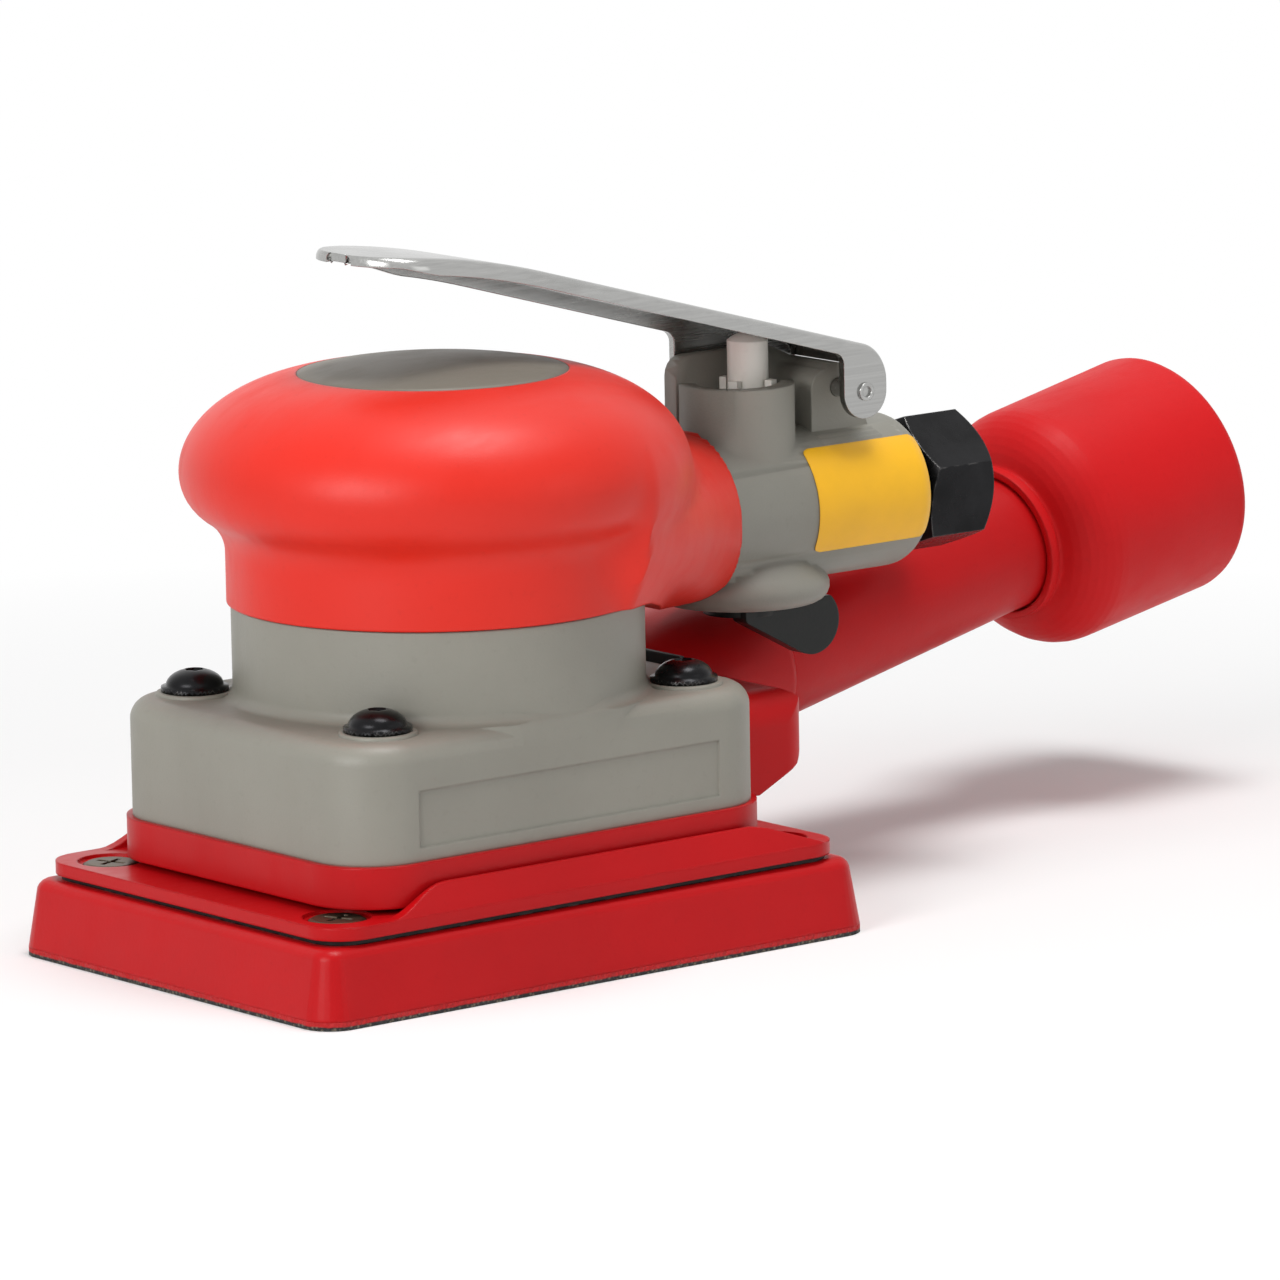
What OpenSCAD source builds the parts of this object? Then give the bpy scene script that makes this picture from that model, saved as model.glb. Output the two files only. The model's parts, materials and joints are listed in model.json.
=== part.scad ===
// Air powered orbital sander with a rectangular pad and a swivelling extraction cuff.
// Millimetres. Origin: centre of the sanding face under the motor axis. +Z up, +X to the air inlet.

/* [Pad] */
// Length of the sanding face, front to rear
pad_l = 101.6; // [96:0.1:120]
// Width of the sanding face
pad_w = 76.2; // [76:0.1:90]
// Radius of the sanding face's corners
pad_corner_r = 5; // [3:0.5:8]
// Thickness of the foam pad
pad_t = 10.1; // [8:0.1:16]
// How far each side of the foam leans in towards its top
pad_lean = 1.4; // [0:0.1:2.5]
// Radius of the foam's top edge
pad_edge_r = 2; // [0.5:0.1:3]
// Thickness of the hook facing
hook_t = 1.2; // [0.8:0.1:2]
// Thickness of the steel plate on the foam
plate_t = 0.8; // [0.6:0.1:1.5]
// Radius of the dust holes
dust_hole_r = 4.5; // [3:0.1:5]

/* [Carrier] */
// Length of the moulded carrier
carrier_l = 95; // [92:0.5:96]
// Width of the moulded carrier
carrier_w = 72; // [71.8:0.1:74]
// Thickness of the carrier's floor
floor_t = 1.9; // [1.6:0.1:2.5]
// Height of the carrier's side wings above its underside
wing_h = 6; // [4:0.1:6.3]
// Width of the flat along a wing's top
wing_flat = 0.5; // [0.4:0.1:0.8]
// Distance of the pad screws from the middle, along the pad
pad_screw_x = 40.5; // [40:0.1:42]
// Distance of the pad screws from the middle, across the pad
pad_screw_y = 27.6; // [26:0.1:28]
// Outer radius of the hub that holds the spindle bearing
hub_r = 16; // [15.5:0.1:17]

/* [Orbit] */
// Diameter of the circle that the pad moves in
orbit_d = 3.2; // [1.6:0.1:3.2]
// Angle of the crank at rest, from the nose's reverse
crank_angle = 51; // [0:1:359]

/* [Shroud] */
// Length of the shroud over the pad
shroud_l = 77.4; // [76:0.1:79]
// Width of the shroud
shroud_w = 62; // [61.4:0.1:62.4]
// Radius of the shroud's upright corners
shroud_corner_r = 10; // [8:0.1:11]
// Height of the shroud's box
shroud_h = 21; // [20:0.1:22]
// Radius of the shroud's top edge
shroud_edge_r = 3.2; // [2:0.1:4]
// Thickness of the shroud's side walls
shroud_wall = 2.6; // [2:0.1:2.8]
// Thickness of the shroud's top
shroud_top_t = 3; // [2.5:0.1:3.5]
// Height of the round sleeve on the shroud
sleeve_h = 10.3; // [9:0.1:11]
// Outer radius of the sleeve
sleeve_r = 30.4; // [30.2:0.1:30.6]
// Radius of the hollow corner between the sleeve and the box
sleeve_fillet = 1.8; // [0.5:0.1:2.5]
// Height of the dust skirt that shows under the shroud
skirt_h = 6.1; // [5:0.1:6.3]
// How far the skirt stands proud of the shroud
skirt_proud = 0.9; // [0.3:0.1:1]
// Air gap between the skirt and the carrier
skirt_gap = 0.8; // [0.5:0.1:1.2]

/* [Posts] */
// Distance of the rubber posts' axes from the shroud's end walls
post_inset_x = 6.1; // [5.9:0.1:6.3]
// Distance of the rubber posts' axes from the shroud's side walls
post_inset_y = 7.4; // [7:0.1:7.6]
// Radius of a post's end
post_r = 4.2; // [3.8:0.1:4.3]
// Radius of a post's waist
post_waist_r = 3.4; // [3.2:0.1:3.8]
// Radius of the post screws' heads
post_head_r = 5; // [4.5:0.1:5.2]
// Height of the post screws' heads
post_head_h = 3.3; // [2.8:0.1:3.8]

/* [Grip] */
// Largest radius of the hand grip
grip_r = 37.5; // [36.5:0.1:39]
// Height of the grip's widest ring
grip_mid_z = 71.6; // [71:0.1:72.2]
// Radius of the grip's waist above its lower edge
grip_waist_r = 31; // [30.8:0.1:31.3]
// Radius of the grip's lower bulge
grip_bulge_r = 8; // [7:0.1:9]
// Radius of the hollow between the bulge and the waist
grip_hollow_r = 6; // [5:0.1:7]
// Height of the grip's crown above its widest ring
grip_crown_h = 14.6; // [14.2:0.1:15.4]
// Radius at which the crown becomes flat
grip_flat_r = 14.2; // [13:0.1:17]
// Radius of the grip's neck at its end, round the inlet barrel
neck_r = 12.8; // [12.6:0.1:13.4]
// Distance of the neck's end from the motor axis
neck_x = 47.5; // [46:0.5:49]
// How much each side of the neck widens towards the grip, for each millimetre
neck_flare = 0.62; // [0.5:0.01:0.7]
// How much the neck's top rises towards the grip, for each millimetre
neck_rise = 0.3; // [0.2:0.01:0.36]
// Width of the blend between the bulge and the neck
neck_blend = 5; // [3:0.5:8]

/* [Motor housing] */
// Radius of the housing inside the grip
core_r = 28.2; // [28:0.1:28.6]
// Radius of the housing inside the sleeve
spigot_r = 27.4; // [27:0.1:27.6]
// Radius of the bore for the motor
motor_bore_r = 24.6; // [24.2:0.1:24.8]
// Radius of the oval cap on top
cap_r = 20; // [19.5:0.1:21]
// Height of the cap's dome above its edge
cap_dome = 2.1; // [1.5:0.1:3.5]
// Height of the inlet barrel's axis
barrel_z = 58.4; // [58:0.1:59]
// Radius of the inlet barrel
barrel_r = 11.8; // [11.5:0.1:12.2]
// Distance of the barrel's end from the motor axis
barrel_x = 87; // [86:0.5:90]
// Radius of the rounding at the barrel's end
barrel_end_r = 3; // [1:0.1:3.5]

/* [Air motor] */
// Length of the cylinder
cylinder_l = 22; // [21:0.1:22.5]
// Radius of the cylinder's bore
cylinder_bore_r = 19.2; // [18.5:0.1:19.6]
// Radius of the rotor
rotor_r = 17; // [16.5:0.1:17.2]
// Gap between the rotor and the cylinder where they are closest
rotor_gap = 0.15; // [0.1:0.01:0.3]
// Number of vanes
vane_count = 5; // [4:1:6]
// Thickness of a vane
vane_t = 1.8; // [1.5:0.1:2.2]
// Radial height of a vane
vane_h = 8; // [7:0.1:8.5]
// Thickness of the end plates
end_plate_t = 4; // [3.5:0.1:4.5]

/* [Throttle] */
// Distance of the valve stem from the motor axis
stem_x = 59.6; // [59:0.1:60.5]
// Radius of the valve stem
stem_r = 3.1; // [2.8:0.1:3.4]
// Radius of the valve tower
tower_r = 8.7; // [8.3:0.1:9]
// Height of the valve tower's rim
tower_z = 77.6; // [77:0.1:78.2]
// Distance of the lever's pin from the motor axis
hinge_x = 73.4; // [73:0.1:74]
// Height of the lever's pin
hinge_z = 75.7; // [75:0.1:76.2]
// Radius of the lever's pin
pin_r = 1.4; // [1.2:0.1:1.6]
// Width of the lever over its sides
lever_w = 22; // [21:0.1:24]
// Thickness of the lever's sheet
lever_t = 1.2; // [1:0.1:1.4]
// Depth of the lever's side lip on the near side
lip_h = 2.5; // [2:0.1:3]
// Depth of the lever's side lip on the far side
far_lip_h = 4.1; // [3:0.1:4.4]
// Height of the lever's plate above its pin
lever_rise = 7.3; // [7.1:0.1:7.8]
// Slope of the lever's plate, in degrees
lever_slope = 15.7; // [15.2:0.1:16.2]
// Distance of the lever's tip ahead of the motor axis
lever_tip_x = 16.8; // [15:0.1:19]
// How far the lever turns when it is pressed, in degrees
lever_travel = 7.5; // [5:0.1:7.5]

/* [Speed control] */
// Distance of the speed control's axis from the motor axis
speed_x = 57.6; // [57:0.1:58]
// Radius of the round boss over the speed control
speed_boss_r = 13.4; // [12.5:0.1:13.6]
// Height of the boss's underside
speed_boss_z = 44.5; // [44.2:0.1:45]
// Length of the thumb fin
fin_l = 18.2; // [17:0.1:19]
// Height of the thumb fin
fin_h = 8.6; // [7:0.1:9.4]
// Thickness of the thumb fin
fin_t = 3.2; // [2.4:0.1:3.4]

/* [Air inlet] */
// Width across the flats of the inlet bushing
hex_af = 19; // [17:0.1:19]
// Length of the bushing's hexagon
hex_l = 12.5; // [11:0.5:15]
// Radius of the inlet's threaded hole
inlet_r = 5.7; // [5.2:0.1:6]
// Depth of the inlet's threaded hole
inlet_depth = 13; // [10:0.5:13]

/* [Extraction] */
// Outer radius of the exhaust tube at the elbow
tube_r = 11.7; // [11.3:0.1:11.8]
// Outer radius of the exhaust tube inside the cuff
tube_end_r = 10.9; // [10.7:0.1:11]
// Wall of the exhaust tube
tube_wall = 1.6; // [1.4:0.1:2]
// Distance of the tube's reference point behind the shroud's end
tube_back = 59.8; // [59.5:0.1:60.1]
// Distance of the tube's reference point beside the motor axis
tube_y = 20.2; // [20:0.1:21]
// Height of the tube's reference point
tube_z = 36.6; // [36.4:0.1:36.8]
// Slope of the tube, in degrees
tube_pitch = 10; // [9.5:0.1:10.5]
// Turn of the tube to the side, in degrees
tube_yaw = 5; // [4.5:0.1:6]
// Length of the elbow's box behind the gasket
elbow_l = 21.4; // [20.8:0.1:21.6]
// Height of the elbow box's flat top above the shroud's lower edge
elbow_rise = 11.5; // [11:0.1:12]
// Distance from the tube's reference point back to the elbow's socket mouth
socket_back = 27; // [26:0.1:28]
// Distance from the tube's reference point to the cuff's mouth ring
cuff_start = 30; // [28.5:0.5:31]
// Outer radius of the cuff's large end
cuff_r = 19.2; // [17.5:0.1:20]
// Length of the cuff from its neck to its open end
cuff_l = 38.3; // [37:0.1:42]
// Radius of the rounding at the cuff's shoulder
cuff_shoulder_r = 8; // [5:0.1:9]
// Radius of the cuff's bore for the hose
hose_r = 15.9; // [13:0.1:16.2]
// Depth of the cuff's bore for the hose
hose_depth = 21; // [18:0.5:22]

/* [Hidden] */
$fn = 64;
// facets of a rounded block's corners
corner_fn = 32;
// facets of a soft moulded surface, round a section
loft_fn = 56;
// overshoot of a cut past the face it opens
cut = 1;
// gap between parts that are pushed or screwed together
fit = 0.1;
// gap between faces that are clamped together
press = 0.02;
// gap between a turning part and its bore
running = 0.05;
// gap between parts that pass each other
clear = 0.4;

// heights, from the sanding face up
pad_z0 = hook_t;
plate_z0 = pad_z0 + pad_t;
carrier_z0 = plate_z0 + plate_t;
ledge_z = carrier_z0 + floor_t;
skirt_z0 = ledge_z + skirt_gap;
shroud_z0 = skirt_z0 + skirt_h;
shroud_top = shroud_z0 + shroud_h;
ceiling_z = shroud_top - shroud_top_t;
sleeve_top = shroud_top + sleeve_h;
seam_z = grip_mid_z + grip_crown_h;
cap_edge_z = grip_mid_z
  + grip_crown_h * sqrt(1 - pow((cap_r - grip_flat_r) / (grip_r - grip_flat_r), 2));

// the shroud's hollow, and the posts in its corners
cavity_l = shroud_l - 2 * shroud_wall;
cavity_w = shroud_w - 2 * shroud_wall;
cavity_r = shroud_corner_r - shroud_wall;
post_x = cavity_l / 2 - post_inset_x;
post_y = cavity_w / 2 - post_inset_y;
tube_x = shroud_l / 2 + tube_back;

// crank
orbit_r = orbit_d / 2;
crank = [orbit_r * cos(crank_angle), orbit_r * sin(crank_angle)];

// bearings: [outer radius, bore radius, width]
big_bearing = [13, 5, 8];
small_bearing = [9.5, 3, 6];
spindle_bearing_z = carrier_z0 + 5;
spindle_bearing_top = spindle_bearing_z + big_bearing[2];
hub_top = spindle_bearing_top + 2;
circlip_t = 1;
balancer_z0 = hub_top + 0.8;
lower_bearing_z = ceiling_z - 2.4;
front_plate_z = lower_bearing_z + big_bearing[2] + 0.6;
cylinder_z0 = front_plate_z + end_plate_t;
cylinder_z1 = cylinder_z0 + cylinder_l;
rear_plate_top = cylinder_z1 + end_plate_t;
upper_bearing_z = rear_plate_top - 0.6;
upper_bearing_top = upper_bearing_z + small_bearing[2];
balancer_h = 6.4;
balancer_r = 20;
shaft_seat_r = 6.4;
rotor_offset = cylinder_bore_r - rotor_r - rotor_gap;

// barrel passages
bushing_thread_r = 8.4;
bushing_thread_l = 13;
chamber_r = 6.6;
chamber_x = 64.4;
seat_t = 2.4;
stem_bore_r = stem_r + 1.2;
guide_rim_r = stem_bore_r + 0.5;
stem_bottom_z = barrel_z + 1.2;
stem_nose_r = 1;
stem_dome_r = 4.5;
screen_t = 1.2;
stem_arm = hinge_x - stem_x;
stem_travel = stem_arm * tan(lever_travel);
tip_head_t = 2.2;
tip_rod_r = 0.9;

// lever
lug_half = lever_w / 2 - lever_t - 0.3;
ear_r = 4.1;
far_wing_x = 20;

// tube frame: x along the tube
module tube_frame() {
  translate([tube_x, tube_y, tube_z]) rotate([0, -tube_pitch, tube_yaw]) children();
}
// a solid turned about the tube's axis, from a profile of [radius, distance along]
module tube_turn(profile) {
  tube_frame() rotate([0, 90, 0]) rotate_extrude() polygon(profile);
}
// a solid turned about the barrel's axis, from a profile of [radius, X]
module barrel_turn(profile) {
  translate([0, 0, barrel_z]) rotate([0, 90, 0]) rotate_extrude() polygon(profile);
}
module rod(r, z0, z1) {
  translate([0, 0, z0]) cylinder(r = r, h = z1 - z0);
}
module ring(r_out, r_in, z0, z1) {
  difference() {
    rod(r_out, z0, z1);
    rod(r_in, z0 - cut, z1 + cut);
  }
}
module at_corners(x, y) {
  for (sx = [-1, 1], sy = [-1, 1]) translate([sx * x, sy * y, 0]) children();
}
module rounded_rect(l, w, r) {
  square([l - 2 * r, w], center = true);
  square([l, w - 2 * r], center = true);
  at_corners(l / 2 - r, w / 2 - r) circle(r);
}
module rounded_plate(l, w, r, z0, z1) {
  translate([0, 0, z0]) linear_extrude(z1 - z0) rounded_rect(l, w, r);
}
// a block with upright rounded corners, sides that lean in and a rounded top edge
module soft_block(l, w, r, z0, z1, edge, lean = 0) {
  steps = 5;
  hull() at_corners(l / 2 - r, w / 2 - r)
    translate([0, 0, z0]) rotate(120 / corner_fn) rotate_extrude($fn = corner_fn)
      polygon(concat([[0, 0], [r, 0]],
        [for (i = [0 : steps])
          [r - lean - edge + edge * cos(90 * i / steps), z1 - z0 - edge + edge * sin(90 * i / steps)]]));
}
// points of an arc in a profile
function arc(c, r, a0, a1, n) =
  [for (i = [0 : n]) c + r * [cos(a0 + (a1 - a0) * i / n), sin(a0 + (a1 - a0) * i / n)]];

// ball bearing, in three nodes
ball_count = 8;
function ball_r(b) = (b[0] - b[1]) * 0.24;
function pitch_r(b) = (b[0] + b[1]) / 2;
function race_t(b) = (b[0] - b[1]) * 0.3;
module ball_groove(b) {
  translate([0, 0, b[2] / 2]) rotate_extrude() translate([pitch_r(b), 0]) circle(ball_r(b) + running);
}
module bearing_outer(b) {
  difference() {
    ring(b[0], b[0] - race_t(b), 0, b[2]);
    ball_groove(b);
  }
}
module bearing_inner(b) {
  difference() {
    ring(b[1] + race_t(b), b[1], 0, b[2]);
    ball_groove(b);
  }
}
module bearing_balls(b) {
  for (i = [0 : ball_count - 1])
    rotate(i * 360 / ball_count) translate([pitch_r(b), 0, b[2] / 2]) sphere(ball_r(b));
}

// ------------------------------------------------------------- housing, shroud and grip
cap_sphere_r = (pow(cap_r, 2) + pow(cap_dome, 2)) / (2 * cap_dome);
core_shoulder_z = seam_z - 10;
module housing_body() {
  dome_a = asin(cap_r / cap_sphere_r);
  rotate_extrude() polygon(concat(
    [[0, ceiling_z], [spigot_r, ceiling_z], [spigot_r, sleeve_top + fit], [core_r, sleeve_top + fit],
      [core_r, core_shoulder_z], [cap_r - fit, seam_z - 3]],
    [for (i = [0 : 8])
      let (a = dome_a * (1 - i / 8))
      [min(cap_r - fit, cap_sphere_r * sin(a)), cap_edge_z + cap_dome - cap_sphere_r * (1 - cos(a))]]));
}
module barrel_body() {
  barrel_turn(concat([[0, 20], [barrel_r, 20]],
    arc([barrel_r - barrel_end_r, barrel_x - barrel_end_r], barrel_end_r, 0, 90, 6),
    [[0, barrel_x]]));
}
module speed_boss() {
  translate([speed_x, 0, speed_boss_z]) rotate_extrude() polygon(concat([[0, 0]],
    arc([speed_boss_r - 2.4, 2.4], 2.4, -90, 30, 6),
    [[speed_boss_r - 2.6, 6.4], [6, 9], [0, 9]]));
}
tower_x = stem_x - 2.2;
tower_wall = 2.6;
tower_floor_z = tower_z - 2.6;
tower_open = [-20, 140];
// round tower with a floor, and a wall that is open to the rear and to the far side
module valve_tower() {
  translate([tower_x, 0, 0]) {
    rod(tower_r, barrel_z, tower_floor_z);
    difference() {
      ring(tower_r, tower_r - tower_wall, tower_floor_z - cut, tower_z);
      linear_extrude(tower_z + cut) polygon(concat([[0, 0]],
        arc([0, 0], 2 * tower_r, tower_open[0], tower_open[1], 4)));
    }
  }
}
lug_front = 5.1;
lug_foot = 8;
lug_r = ear_r - clear;
module hinge_lug() {
  translate([0, lug_half, 0]) rotate([90, 0, 0]) linear_extrude(2 * lug_half) {
    translate([hinge_x, hinge_z]) circle(lug_r);
    polygon(concat([[hinge_x - lug_front, barrel_z + barrel_r / 2],
      [hinge_x + lug_foot, barrel_z + barrel_r / 2], [hinge_x + lug_foot - 2.5, barrel_z + barrel_r],
      [hinge_x + lug_r, hinge_z]],
      arc([hinge_x - lug_front + 3, hinge_z], 3, 90, 180, 5)));
  }
}
// upright wall behind the valve stem, under the lever's deep side
far_wall_y = 6.4;
far_wall_t = 2.8;
far_wall_z = 81.4;
module far_wall() {
  round_r = 3;
  front_x = stem_x - tower_r;
  translate([0, far_wall_y + far_wall_t, 0]) rotate([90, 0, 0]) linear_extrude(far_wall_t)
    polygon(concat([[hinge_x, barrel_z], [front_x, barrel_z]],
      arc([front_x + round_r, far_wall_z - round_r], round_r, 180, 90, 5),
      [[hinge_x - 4.4, far_wall_z], [hinge_x, hinge_z + ear_r - 0.4]]));
}
module motor_housing() {
  color([0.57, 0.56, 0.53]) difference() {
    union() {
      far_wall();
      housing_body();
      barrel_body();
      speed_boss();
      valve_tower();
      hinge_lug();
    }
    // room for the shroud's sleeve
    ring(sleeve_r + fit, spigot_r, 0, sleeve_top + fit);
    // motor bore and bearing pocket
    rod(motor_bore_r, ceiling_z - cut, rear_plate_top + fit);
    rod(small_bearing[0] + 3.2, rear_plate_top, upper_bearing_top + 1);
    // air way from the motor to the valve, the valve chamber and the inlet thread
    barrel_turn([[0, 12], [4, 12], [4, chamber_x], [chamber_r, chamber_x],
      [chamber_r, barrel_x - bushing_thread_l], [bushing_thread_r + fit, barrel_x - bushing_thread_l],
      [bushing_thread_r + fit, barrel_x + cut], [0, barrel_x + cut]]);
    // bore for the stem and its guide
    translate([stem_x, 0, 0]) rod(stem_bore_r + fit, barrel_z, tower_floor_z + cut);
    // room for the guide's rim
    translate([stem_x, 0, 0]) rod(guide_rim_r + fit, tower_floor_z, tower_z + cut);
    // bore for the speed control
    translate([speed_x, 0, 0]) rod(speed_rod_r, speed_boss_z - cut, barrel_z);
    // bore for the lever's pin
    translate([hinge_x, lug_half + cut, hinge_z]) rotate([90, 0, 0])
      cylinder(r = pin_r, h = 2 * (lug_half + cut));
  }
}

// radius of the grip's turned form at a height
hollow_c = grip_waist_r + grip_hollow_r;
bulge_c = grip_r - grip_bulge_r;
hollow_z = grip_mid_z - sqrt(pow(grip_bulge_r + grip_hollow_r, 2) - pow(hollow_c - bulge_c, 2));
meet_z = grip_mid_z - grip_bulge_r * (grip_mid_z - hollow_z) / (grip_bulge_r + grip_hollow_r);
function grip_at(z) =
  z >= seam_z ? grip_flat_r :
  z > grip_mid_z ? grip_flat_r + (grip_r - grip_flat_r) * sqrt(1 - pow((z - grip_mid_z) / grip_crown_h, 2)) :
  z > meet_z ? bulge_c + sqrt(pow(grip_bulge_r, 2) - pow(grip_mid_z - z, 2)) :
  z > hollow_z ? hollow_c - sqrt(pow(grip_hollow_r, 2) - pow(z - hollow_z, 2)) :
  grip_waist_r;
// height of the middle of the neck's section
function neck_mid(x) = barrel_z + max(0, neck_x - x) * neck_rise / 2;
// signed measure of the grip: below zero inside the turned form or the neck, with a blend between
function grip_field(x, y, z) = let (
    turned = max(sqrt(x * x + y * y) - grip_at(z), z - seam_z, sleeve_top - grip_hollow_r - z),
    w = neck_r + max(0, neck_x - x) * neck_flare,
    h = neck_r + neck_mid(x) - barrel_z,
    neck = (sqrt(pow(y / w, 2) + pow((z - neck_mid(x)) / h, 2)) - 1) * min(w, h) + max(0, neck_r - x),
    near = max(0, 1 - abs(turned - neck) / neck_blend))
  min(turned, neck) - near * near * neck_blend / 4;
function grip_reach(x, zc, a, lo, hi, n) = n == 0 ? (lo + hi) / 2 :
  let (mid = (lo + hi) / 2)
  grip_field(x, mid * cos(a), zc + mid * sin(a)) < 0 ?
    grip_reach(x, zc, a, mid, hi, n - 1) : grip_reach(x, zc, a, lo, mid, n - 1);
function section_z(x) = x < 10 ? grip_mid_z : x > 40 ? neck_mid(x) :
  grip_mid_z + (neck_mid(x) - grip_mid_z) * (1 - cos(180 * (x - 10) / 30)) / 2;
module grip_form() {
  nose = 14;
  tail = 22;
  xs = concat([for (i = [1 : nose]) -grip_r * cos(90 * i / nose)], [for (i = [1 : tail]) neck_x * i / tail]);
  rings = [for (x = xs) let (zc = section_z(x)) [for (j = [0 : loft_fn - 1])
    let (a = 360 * j / loft_fn, t = grip_reach(x, zc, a, 0, 48, 15)) [x, t * cos(a), zc + t * sin(a)]]];
  count = len(xs);
  points = concat([[-grip_r, 0, grip_mid_z]], [for (r = rings, p = r) p],
    [[neck_x, 0, section_z(neck_x)]]);
  last = len(points) - 1;
  faces = concat(
    [for (j = [0 : loft_fn - 1]) [0, 1 + (j + 1) % loft_fn, 1 + j]],
    [for (k = [0 : count - 2], j = [0 : loft_fn - 1]) let (a = 1 + k * loft_fn + j,
      b = 1 + k * loft_fn + (j + 1) % loft_fn) [a, b, a + loft_fn]],
    [for (k = [0 : count - 2], j = [0 : loft_fn - 1]) let (a = 1 + k * loft_fn + j,
      b = 1 + k * loft_fn + (j + 1) % loft_fn) [b, b + loft_fn, a + loft_fn]],
    [for (j = [0 : loft_fn - 1]) let (s = 1 + (count - 1) * loft_fn) [last, s + j, s + (j + 1) % loft_fn]]);
  polyhedron(points, faces);
}
module grip() {
  color([0.93, 0.25, 0.2]) difference() {
    grip_form();
    rod(grip_waist_r + fit, 0, sleeve_top + 2 * fit);
    rotate_extrude() polygon([[0, 0], [core_r + fit, 0], [core_r + fit, core_shoulder_z],
      [cap_r, seam_z - 3 + fit], [cap_r, seam_z + cut], [0, seam_z + cut]]);
    barrel_turn([[0, 0], [barrel_r + fit, 0], [barrel_r + fit, 60], [0, 60]]);
    translate([speed_x, 0, 0]) rod(speed_boss_r + fit, 0, speed_boss_z + 7);
  }
}

port_w = 24;
port_z0 = shroud_z0 + 4;
port_z1 = ceiling_z - 1.6;
port_y = 6;
post_seat_z = shroud_top + 0.5;
panel_x0 = -26;
panel_l = 56;
panel_h = 11;
panel_low = 3.4;
panel_depth = 0.35;
module shroud() {
  color([0.57, 0.56, 0.53]) difference() {
    union() {
      soft_block(shroud_l, shroud_w, shroud_corner_r, shroud_z0, shroud_top, shroud_edge_r);
      rod(sleeve_r, ceiling_z, sleeve_top);
      // hollow corner round the foot of the sleeve, dying out where the sleeve meets the sides
      intersection() {
        soft_block(shroud_l, shroud_w, shroud_corner_r, shroud_z0, shroud_top + sleeve_fillet,
          shroud_edge_r);
        translate([0, 0, shroud_top]) rotate_extrude() polygon(concat(
          [[sleeve_r - cut, -shroud_edge_r], [sleeve_r + sleeve_fillet, -shroud_edge_r]],
          arc([sleeve_r + sleeve_fillet, sleeve_fillet], sleeve_fillet, -90, -180, 6),
          [[sleeve_r - cut, sleeve_fillet]]));
      }
      // seats of the post screws
      at_corners(post_x, post_y) rod(post_head_r + 0.7, ceiling_z, post_seat_z);
    }
    rounded_plate(cavity_l, cavity_w, cavity_r, shroud_z0 - cut, ceiling_z);
    rod(spigot_r + fit, shroud_z0, sleeve_top + cut);
    at_corners(post_x, post_y) rod(post_screw_r + clear, ceiling_z - cut, shroud_top + 2);
    // room for the post screws' heads beside the sleeve
    at_corners(post_x, post_y) rod(post_head_r + fit, post_seat_z, sleeve_top + cut);
    // port to the exhaust elbow
    translate([shroud_l / 2 - shroud_wall - cut, port_y - port_w / 2, port_z0])
      cube([shroud_wall + 2 * cut, port_w, port_z1 - port_z0]);
    // shallow panel on one side
    translate([panel_x0, -shroud_w / 2 - cut, shroud_z0 + panel_low])
      cube([panel_l, cut + panel_depth, panel_h]);
  }
}
skirt_lip_h = 2.4;
skirt_lip_t = 0.8;
module skirt() {
  color([0.78, 0.13, 0.14]) {
    difference() {
      union() {
        rounded_plate(shroud_l + 2 * skirt_proud, shroud_w + 2 * skirt_proud,
          shroud_corner_r + skirt_proud, skirt_z0, shroud_z0);
        rounded_plate(cavity_l - 2 * fit, cavity_w - 2 * fit, cavity_r - fit, skirt_z0,
          shroud_z0 + skirt_lip_h);
      }
      rounded_plate(cavity_l, cavity_w, cavity_r, skirt_z0 - cut, shroud_z0 - 1);
      rounded_plate(cavity_l - 2 * skirt_lip_t, cavity_w - 2 * skirt_lip_t, cavity_r - skirt_lip_t,
        skirt_z0 - cut, shroud_z0 + skirt_lip_h + cut);
    }
  }
}

// ------------------------------------------------------------- air motor
lock_flange_r = 30.3;
lock_flange_z = ceiling_z - 2.6;
spanner_slot_r = 23.5;
spanner_slot_w = 4;
spanner_slot_depth = 1;
module lock_ring() {
  color([0.35, 0.35, 0.37]) difference() {
    union() {
      rod(motor_bore_r - fit, lock_flange_z, front_plate_z - running);
      // flange with two flats
      intersection() {
        rod(lock_flange_r, lock_flange_z, ceiling_z - press);
        rounded_plate(cavity_l, cavity_w - 2 * clear, cavity_r, shroud_z0, ceiling_z);
      }
    }
    rod(big_bearing[0] + 3.3, 0, sleeve_top);
    // spanner slots
    for (i = [0 : 3]) rotate(45 + 90 * i)
      translate([spanner_slot_r, -spanner_slot_w / 2, lock_flange_z - cut])
        cube([lock_flange_r, spanner_slot_w, cut + spanner_slot_depth]);
    // room for the posts
    at_corners(post_x, post_y) rod(post_r + clear, shroud_z0, ceiling_z);
  }
}
module front_end_plate() {
  color([0.62, 0.63, 0.66]) difference() {
    union() {
      rod(motor_bore_r - fit, front_plate_z, cylinder_z0);
      rod(big_bearing[0] + 3, lower_bearing_z, front_plate_z);
    }
    translate([0, 0, lower_bearing_z - cut]) cylinder(r = big_bearing[0], h = big_bearing[2] + cut);
    rod(shaft_seat_r + clear, lower_bearing_z, cylinder_z0 + cut);
    locating_hole();
  }
}
module locating_hole() {
  rotate(150) translate([motor_bore_r - 2.5, 0, 0]) rod(1 + fit, front_plate_z + 1, rear_plate_top - 1);
}
module cylinder_pin() {
  color([0.7, 0.7, 0.72]) rotate(150) translate([motor_bore_r - 2.5, 0, 0])
    rod(1, front_plate_z + 1.2, rear_plate_top - 1.2);
}
liner_turn = 150;
port_r = 2.4;
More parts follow.
